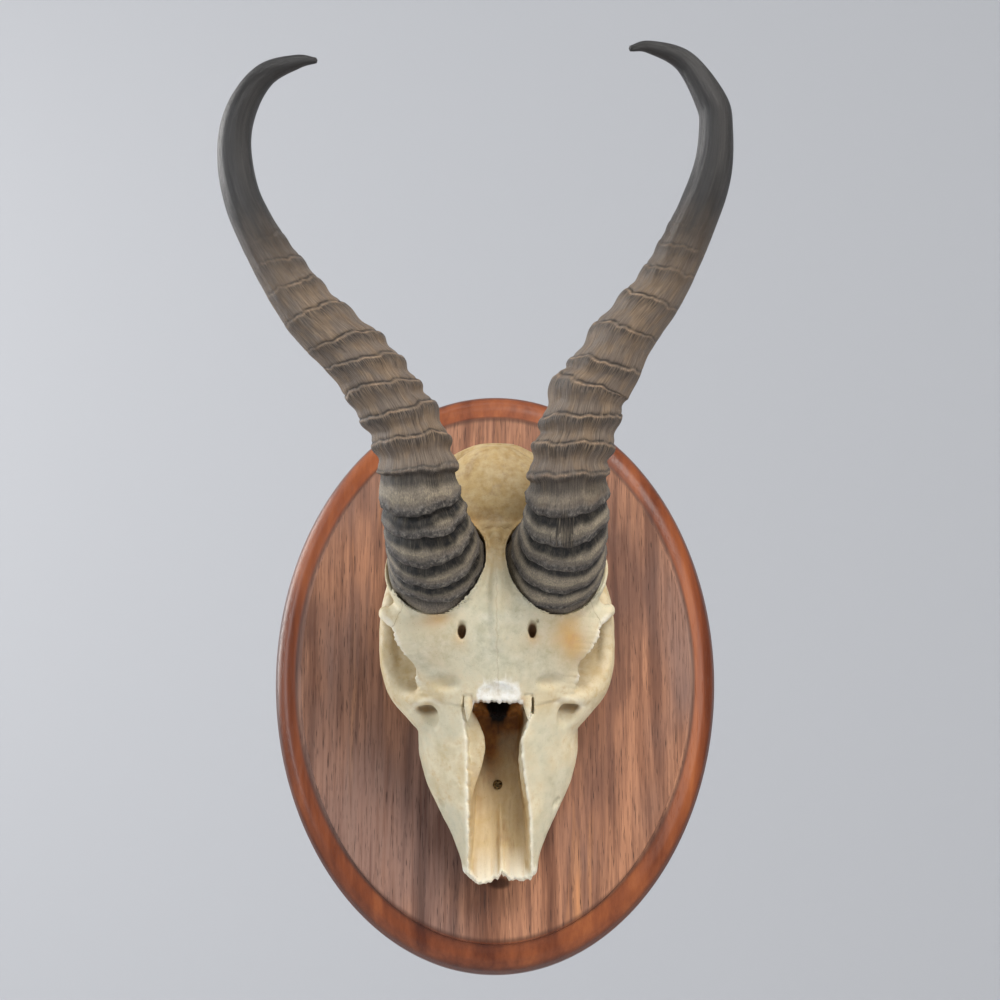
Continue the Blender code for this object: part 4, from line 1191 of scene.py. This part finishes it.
def bone_material():
    m = Shader("bone")
    mm = m.place()
    broad = m.noise(mm, 0.045, 4, 0.6)
    middle = m.noise(mm, 0.22, 5, 0.65)
    fine = m.noise(mm, 1.6, 4, 0.6)
    cream = ((0.3, srgb(200, 184, 146)), (0.5, srgb(226, 213, 182)), (0.75, srgb(202, 180, 136)))
    colour = m.ramp(broad, cream)
    colour = m.mix(m.span(middle, 0.45, 0.72, 0, 0.7), colour, srgb(204, 178, 130))
    grey = m.math("MULTIPLY", m.attribute("grey"), m.span(m.noise(mm, 0.05, 5, 0.6), 0.3, 0.65, 0.55, 0.95))
    greys = ((0.3, srgb(176, 173, 148)), (0.5, srgb(198, 194, 171)), (0.75, srgb(220, 216, 197)))
    colour = m.mix(grey, colour, m.ramp(middle, greys))
    # Tan is the braincase's own colour; in the orbits it is partly painted shade.
    tan = m.math("MULTIPLY", m.attribute("tan"), m.span(middle, 0.2, 0.7, 0.65, 1.0))
    tans = ((0.3, srgb(150, 120, 72)), (0.55, srgb(180, 152, 102)), (0.75, srgb(134, 100, 58)))
    colour = m.mix(tan, colour, m.ramp(m.noise(mm, 0.07, 5, 0.65), tans))
    stain = m.attribute("stain")
    colour = m.mix(stain, colour, m.ramp(middle, ((0.3, srgb(206, 164, 92)), (0.7, srgb(192, 146, 92)))))
    nose = m.math("MULTIPLY", m.attribute("nose"), 0.75)
    ochres = ((0.3, srgb(176, 138, 84)), (0.55, srgb(198, 170, 122)), (0.75, srgb(150, 102, 50)))
    colour = m.mix(nose, colour, m.ramp(m.noise(m.place((1000, 1000, 260)), 0.16, 4, 0.6), ochres))
    # Painted shade: brown inside the nose's passage and the back of its trough.
    browns = ((0.3, srgb(104, 60, 20)), (0.7, srgb(168, 110, 50)))
    colour = m.mix(m.attribute("deep"), colour, m.ramp(middle, browns))
    # Painted shadow: near black deep in the passage.
    colour = m.mix(m.attribute("black"), colour, srgb(14, 7, 3))
    # Painted shade in the foramina and the pits.
    darks = ((0.3, srgb(62, 34, 14)), (0.7, srgb(128, 86, 44)))
    colour = m.mix(m.attribute("hole"), colour, m.ramp(middle, darks))
    # Broken edges are paler bone; the brow's share of this whitening is a painted highlight.
    break_and_brow_highlight = m.math("MULTIPLY", m.attribute("break_and_brow_highlight"), m.span(middle, 0.3, 0.5, 0.8, 1.0))
    colour = m.mix(break_and_brow_highlight, colour, m.ramp(middle, ((0.3, srgb(218, 210, 190)), (0.6, srgb(244, 241, 232)))))
    # Paler bone at the broken muzzle end and along the trough's edges, and a painted highlight on the pit's
    # ledge.
    colour = m.mix(m.math("MULTIPLY", m.attribute("rim"), 0.75), colour, srgb(246, 240, 220))
    seam = m.span(m.math("ABSOLUTE", m.attribute("seam")), 0.1, 0.55, 1.0, 0.0)
    crown = m.span(m.math("ABSOLUTE", m.attribute("crown")), 0.1, 0.6, 1.0, 0.0)
    outer = m.math("SUBTRACT", 1.0, m.attribute("nose"), True)
    faint_seam = m.math("MULTIPLY", seam, m.math("MULTIPLY", m.attribute("grey"), 0.5))
    line = m.math("MULTIPLY", m.math("MAXIMUM", faint_seam, crown), outer)
    colour = m.mix(m.math("MULTIPLY", line, 0.4), colour, srgb(146, 118, 76))
    pores = m.span(m.noise(mm, 2.3, 2, 0.5), 0.66, 0.74)
    colour = m.mix(m.math("MULTIPLY", pores, 0.6), colour, srgb(124, 94, 58))
    height = m.math("ADD", m.math("MULTIPLY", middle, 0.5), m.math("MULTIPLY", fine, 0.3))
    height = m.math("SUBTRACT", height, m.math("MULTIPLY", m.math("ADD", pores, line), 0.35))
    normal = m.bump(height, 0.5, 0.0009)
    return m.put(Base_Color=colour, Roughness=m.span(middle, 0.3, 0.7, 0.5, 0.66), Normal=normal,
                 Subsurface_Weight=0.08, Subsurface_Radius=(0.004, 0.0025, 0.0015), Specular_IOR_Level=0.35)


def horn_material():
    m = Shader("horn_keratin")
    grain = m.attribute("grain", True)
    along = m.attribute("along")
    lip, under, crease = m.attribute("lip"), m.attribute("under"), m.attribute("crease")
    shelf, fray = m.attribute("shelf"), m.attribute("fray")
    fibres = m.noise(m.place((1, 1, 0.05), grain), 1.9, 5, 0.6)
    fine = m.noise(m.place((1, 1, 0.12), grain), 5.0, 3, 0.6)
    blotch = m.noise(m.place((1, 1, 0.6), grain), 0.13, 4, 0.6)
    grit = m.noise(grain, 1.5, 4, 0.65)
    brown = m.ramp(fibres, ((0.25, srgb(66, 56, 48)), (0.48, srgb(110, 96, 84)), (0.75, srgb(142, 127, 110))))
    warm = m.ramp(fibres, ((0.25, srgb(72, 58, 46)), (0.48, srgb(122, 103, 84)), (0.75, srgb(156, 134, 108))))
    colour = m.mix(m.span(blotch, 0.42, 0.62), brown, warm)
    low = m.span(along, 72, 50)
    base = m.ramp(grit, ((0.3, srgb(66, 62, 59)), (0.5, srgb(104, 97, 88)), (0.7, srgb(138, 128, 112))))
    colour = m.mix(m.math("MULTIPLY", low, 0.8), colour, base)
    # Paler shelves above the lowest lips, in patches.
    pale = m.ramp(grit, ((0.3, srgb(120, 110, 95)), (0.55, srgb(164, 151, 129)), (0.75, srgb(196, 182, 154))))
    pale_shelf = m.math("MULTIPLY", m.math("MULTIPLY", shelf, low), m.span(blotch, 0.3, 0.6, 0.45, 0.95))
    colour = m.mix(pale_shelf, colour, pale)
    rugged = m.noise(grain, 0.55, 5, 0.7)
    dark_lip = m.ramp(rugged, ((0.34, srgb(30, 28, 28)), (0.5, srgb(80, 76, 73)), (0.68, srgb(156, 148, 136))))
    colour = m.mix(m.math("MULTIPLY", lip, 0.85), colour, dark_lip)
    # Painted highlight along the crests of the upper lips, in patches.
    crest_highlight = m.ramp(grit, ((0.3, srgb(120, 92, 72)), (0.55, srgb(164, 138, 112)), (0.75, srgb(198, 180, 152))))
    patches = m.span(m.noise(grain, 0.13, 4, 0.65), 0.44, 0.6, 0.15, 0.95)
    colour = m.mix(m.math("MULTIPLY", m.attribute("crest"), patches), colour, crest_highlight)
    # Painted shadow below each upper crest, streaked along the fibres.
    fringe_shadow = m.span(m.noise(m.place((1, 1, 0.06), grain), 3.0, 3, 0.5), 0.4, 0.62, 0.9, 0.1)
    colour = m.mix(m.math("MULTIPLY", m.attribute("fringe_shadow"), fringe_shadow), colour, srgb(34, 28, 25))
    # Painted shadow: near black under the lower lips, in streaks along the fibres and in patches near the base.
    streaks = m.span(m.noise(m.place((1, 1, 0.06), grain), 2.6, 3, 0.5), 0.42, 0.66, 0.95, 0.45)
    patchy = m.span(m.noise(grain, 0.3, 4, 0.6), 0.36, 0.6, 0.72, 1.0)
    streaks = m.math("MAXIMUM", streaks, m.math("MULTIPLY", low, patchy))
    colour = m.mix(m.math("MULTIPLY", under, streaks), colour, srgb(13, 11, 10))
    # Painted shade: a dark broken line in each upper crease.
    broken_line = m.span(m.noise(grain, 0.2, 3, 0.6), 0.38, 0.52, 0.35, 0.95)
    colour = m.mix(m.math("MULTIPLY", crease, broken_line), colour, srgb(30, 24, 21))
    torn = m.ramp(m.noise(m.place((1, 1, 0.05), grain), 3.2, 3, 0.5), (
        (0.42, srgb(30, 26, 23)),
        (0.55, srgb(84, 74, 62)),
        (0.68, srgb(150, 138, 116)),
    ))
    shreds = m.span(m.noise(m.place((1, 1, 0.3), grain), 0.34, 3, 0.6), 0.35, 0.65, 0.2, 1.7)
    colour = m.mix(m.span(m.math("MULTIPLY", fray, shreds), 0.3, 0.9, 0.0, 0.85), colour, torn)
    tips = m.ramp(m.noise(m.place((1, 1, 0.04), grain), 0.8, 4, 0.6), (
        (0.3, srgb(32, 31, 31)),
        (0.6, srgb(50, 48, 47)),
        (0.8, srgb(76, 72, 68)),
    ))
    colour = m.mix(m.span(m.math("ADD", along, m.math("MULTIPLY", blotch, 40)), 180, 245), colour, tips)
    height = m.math("ADD", m.math("MULTIPLY", fibres, 0.7), m.math("MULTIPLY", fine, 0.35))
    height = m.math("ADD", height, m.math("MULTIPLY", grit, m.math("MULTIPLY", lip, 1.1)))
    height = m.math("MULTIPLY", height, m.span(along, 190, 240, 1.0, 0.25))
    normal = m.bump(height, 0.85, 0.0016)
    rough = m.span(m.math("ADD", m.math("MULTIPLY", grit, 60), along), 100, 260, 0.56, 0.33)
    return m.put(Base_Color=colour, Roughness=rough, Normal=normal, Specular_IOR_Level=0.4)


def walnut_material():
    m = Shader("walnut_wood")
    warp = m.noise(m.place((1000, 1000, 160)), 0.018, 2, 0.5)
    wide = m.node("ShaderNodeVectorMath", operation="ADD")
    m.plug(wide.inputs[0], m.place((1000, 1000, 55)))
    offset = m.node("ShaderNodeCombineXYZ")
    m.plug(offset.inputs[0], m.math("MULTIPLY", warp, 26))
    m.plug(wide.inputs[1], offset.outputs[0])
    streak = m.noise(wide.outputs[0], 0.075, 6, 0.62)
    thin = m.noise(m.place((1000, 1000, 30)), 0.7, 5, 0.65)
    zone = m.noise(m.place((1000, 1000, 420)), 0.014, 3, 0.5)
    colour = m.ramp(streak, (
        (0.28, srgb(84, 50, 36)),
        (0.41, srgb(138, 92, 68)),
        (0.51, srgb(184, 130, 98)),
        (0.6, srgb(140, 96, 74)),
        (0.74, srgb(212, 146, 96)),
    ))
    mauve = m.ramp(streak, ((0.3, srgb(84, 64, 58)), (0.5, srgb(128, 102, 94)), (0.7, srgb(150, 120, 106))))
    parts = m.node("ShaderNodeSeparateXYZ")
    m.plug(parts.inputs[0], m.place())
    x, y, z = parts.outputs
    # The board is painted more mauve-grey towards its left side as a painted sheen of the varnish; the zone
    # noise adds mauve patches that are the wood's own tone.
    leftward = m.math("SUBTRACT", zone, m.math("MULTIPLY", x, 0.0013))
    colour = m.mix(m.span(leftward, 0.42, 0.64, 0.0, 0.8), colour, mauve)
    shade = m.noise(m.place((1000, 1000, 330)), 0.022, 4, 0.6)
    colour = m.mix(m.span(shade, 0.5, 0.66, 0.0, 0.6), colour, srgb(92, 60, 50))
    colour = m.mix(m.span(thin, 0.45, 0.68, 0.0, 0.5), colour, srgb(92, 55, 40))
    pores = m.span(m.noise(m.place((1000, 1000, 40)), 2.6, 2, 0.5), 0.6, 0.7)
    colour = m.mix(m.math("MULTIPLY", pores, 0.75), colour, srgb(50, 29, 21))
    across, up = [m.math("POWER", m.math("DIVIDE", v, half), 2.0) for v, half in ((x, 115.0), (z, 153.5))]
    radial = m.math("SQRT", m.math("ADD", across, up))
    ahead = m.span(y, -0.6, -1.4)
    moulding = m.math("MULTIPLY", m.span(radial, 0.895, 0.91), ahead)
    rich = m.ramp(streak, ((0.3, srgb(84, 36, 16)), (0.5, srgb(126, 62, 30)), (0.7, srgb(160, 88, 46))))
    colour = m.mix(m.math("MULTIPLY", moulding, 0.92), colour, rich)
    # Painted shadow line at the step between the field and the moulding, and a darker outer edge of the
    # moulding.
    groove = m.math("MULTIPLY", m.span(radial, 0.885, 0.9), m.span(radial, 0.915, 0.9))
    groove = m.math("MAXIMUM", groove, m.span(radial, 0.975, 0.995))
    colour = m.mix(m.math("MULTIPLY", m.math("MULTIPLY", groove, ahead), 0.6), colour, srgb(62, 30, 18))
    dx = m.math("DIVIDE", m.math("SUBTRACT", x, 2.1), 6.5)
    dz = m.math("DIVIDE", m.math("ADD", z, 108.4), 3.4)
    spot = m.span(m.math("ADD", m.math("MULTIPLY", dx, dx), m.math("MULTIPLY", dz, dz)), 0.2, 1.3, 0.8, 0.0)
    spot = m.math("MULTIPLY", spot, m.span(y, -17.0, -18.5))
    colour = m.mix(spot, colour, srgb(48, 22, 10))
    height = m.math("SUBTRACT", m.math("MULTIPLY", thin, 0.4), m.math("MULTIPLY", pores, 0.8))
    normal = m.bump(height, 0.3, 0.0004)
    rough = m.math("SUBTRACT", m.span(streak, 0.3, 0.7, 0.46, 0.54), m.math("MULTIPLY", moulding, 0.16))
    return m.put(Base_Color=colour, Roughness=rough, Normal=normal, Specular_IOR_Level=0.32)


def enamel_material():
    m = Shader("tooth_enamel")
    mm = m.place()
    lines = m.noise(m.place((1000, 260, 1000)), 0.9, 4, 0.6)
    colour = m.ramp(lines, ((0.3, srgb(150, 120, 78)), (0.5, srgb(224, 208, 172)), (0.7, srgb(236, 226, 198))))
    normal = m.bump(m.noise(mm, 1.2, 3), 0.2, 0.0004)
    return m.put(Base_Color=colour, Roughness=0.32, Normal=normal)


def screw_material():
    m = Shader("screw_brass")
    mm = m.place()
    grime = m.noise(mm, 1.1, 4, 0.6)
    colour = m.ramp(grime, ((0.35, srgb(52, 40, 24)), (0.6, srgb(128, 104, 62))))
    return m.put(Base_Color=colour, Roughness=m.span(grime, 0.3, 0.7, 0.35, 0.6), Metallic=0.7)


def plain_material(name, colour, rough):
    m = Shader(name)
    grain = m.noise(m.place((1, 1, 1)), 60, 2)
    tone = m.mix(m.span(grain, 0.3, 0.7, 0.0, 0.03), colour, (0.5, 0.5, 0.5))
    return m.put(Base_Color=tone, Roughness=rough)


def one_sided(material):
    """Lets the back of a backdrop show nothing."""
    tree = material.node_tree
    out = tree.nodes["Material Output"]
    shader = tree.nodes["Principled BSDF"]
    geometry = tree.nodes.new("ShaderNodeNewGeometry")
    clear = tree.nodes.new("ShaderNodeBsdfTransparent")
    mix = tree.nodes.new("ShaderNodeMixShader")
    tree.links.new(geometry.outputs["Backfacing"], mix.inputs[0])
    tree.links.new(shader.outputs[0], mix.inputs[1])
    tree.links.new(clear.outputs[0], mix.inputs[2])
    tree.links.new(mix.outputs[0], out.inputs["Surface"])
    return material


def finish_piece(obj, material, nodes):
    obj.data.materials.clear()
    obj.data.materials.append(material)
    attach(obj, "root")
    for node in nodes:
        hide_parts(node)


def build_stage():
    bm = bmesh.new()
    for x, z in ((-7, -0.95), (7, -0.95), (7, 6.0), (-7, 6.0)):
        bm.verts.new((x, 1.3, z))
    bm.verts.ensure_lookup_table()
    bm.faces.new(bm.verts)
    mesh = bpy.data.meshes.new("backdrop_wall")
    bm.to_mesh(mesh)
    bm.free()
    wall = bpy.data.objects.new("backdrop_wall", mesh)
    bpy.context.scene.collection.objects.link(wall)
    mesh.materials.append(one_sided(plain_material("wall_paint", (0.48, 0.49, 0.515), 0.9)))
    bm = bmesh.new()
    for x, y in ((-6, -6), (6, -6), (6, 6), (-6, 6)):
        bm.verts.new((x, y, -0.95))
    bm.verts.ensure_lookup_table()
    bm.faces.new(bm.verts)
    mesh = bpy.data.meshes.new("studio_floor")
    bm.to_mesh(mesh)
    bm.free()
    floor = bpy.data.objects.new("studio_floor", mesh)
    bpy.context.scene.collection.objects.link(floor)
    paint = plain_material("floor_paint", (0.52, 0.52, 0.53), 0.9)
    glow = paint.node_tree.nodes["Principled BSDF"].inputs
    glow["Emission Color"].default_value = (0.95, 0.96, 1.0, 1)
    glow["Emission Strength"].default_value = 0.2
    mesh.materials.append(paint)


def area_light(name, place, aim, size, power, colour=(1, 1, 1)):
    data = bpy.data.lights.new(name, "AREA")
    data.shape = "RECTANGLE"
    data.size, data.size_y = size
    data.energy = power
    data.color = colour
    obj = bpy.data.objects.new(name, data)
    obj.location = place
    obj.rotation_euler = (Vector(aim) - Vector(place)).to_track_quat("-Z", "Y").to_euler()
    obj.visible_camera = False
    bpy.context.scene.collection.objects.link(obj)


def build_light():
    bpy.context.scene.view_settings.view_transform = "Standard"
    world = bpy.data.worlds.new("studio")
    bpy.context.scene.world = world
    world.use_nodes = True
    # dim as a light, pale as the backdrop that the camera sees
    tree = world.node_tree
    dim = tree.nodes["Background"]
    dim.inputs[0].default_value = (0.88, 0.93, 1.0, 1)
    dim.inputs[1].default_value = 0.22
    pale = tree.nodes.new("ShaderNodeBackground")
    pale.inputs[0].default_value = (0.95, 0.96, 1.0, 1)
    pale.inputs[1].default_value = 0.62
    path = tree.nodes.new("ShaderNodeLightPath")
    mix = tree.nodes.new("ShaderNodeMixShader")
    tree.links.new(path.outputs["Is Camera Ray"], mix.inputs[0])
    tree.links.new(dim.outputs[0], mix.inputs[1])
    tree.links.new(pale.outputs[0], mix.inputs[2])
    tree.links.new(mix.outputs[0], tree.nodes["World Output"].inputs["Surface"])
    area_light("key", (0.5, -1.35, 1.05), (0, -0.05, 0.0), (0.9, 0.7), 25, (1.0, 0.98, 0.95))
    area_light("fill", (1.15, -1.3, 0.1), (0, -0.05, -0.1), (0.7, 0.8), 9, (1.0, 0.97, 0.92))
    area_light("left_strip", (-1.3, -0.6, 0.3), (0, -0.05, 0.0), (0.4, 1.2), 10, (0.88, 0.94, 1.0))
    area_light("wall_wash", (0.0, -0.6, 3.0), (0, 1.3, 0.9), (4.0, 0.8), 26, (0.97, 0.98, 1.0))
    area_light("back", (-1.5, 0.7, 0.7), (0, 0.0, 0.0), (0.9, 1.0), 22, (1.0, 0.98, 0.96))


def build_camera():
    data = bpy.data.cameras.new("photo_camera")
    data.sensor_width = 36.0
    data.lens = 103.64
    cam = bpy.data.objects.new("photo_camera", data)
    cam.location = (0.0026, -1.4934, -0.2819)
    cam.rotation_euler = (math.radians(90 + 14.29), 0, 0)
    bpy.context.scene.collection.objects.link(cam)
    bpy.context.scene.camera = cam


def main():
    build_camera()
    build_light()
    build_stage()
    finish_piece(build_plaque(), walnut_material(), ["plaque"])
    finish_piece(build_skull(), bone_material(), ["skull"])
    horn = horn_material()
    left = build_horn("horn_sheath_left", HORN_LEFT, RIDGES_LEFT, LEAN_LEFT, -1, 41)
    right = build_horn("horn_sheath_right", HORN_RIGHT, RIDGES_RIGHT, LEAN_RIGHT, 1, 77)
    finish_piece(left, horn, ["horn_left"])
    finish_piece(right, horn, ["horn_right"])
    finish_piece(build_screw(), screw_material(), ["palate_screw"])
    enamel = enamel_material()
    for side, word in ((1, "right"), (-1, "left")):
        start = TOOTH_ROW_START
        for kind, length, width, middle in TEETH:
            tooth = build_tooth(f"crown_{kind}_{word}", length, width, middle, start, side)
            finish_piece(tooth, enamel, [f"{kind}_{word}"])
            start += length + TOOTH_GAP


main()
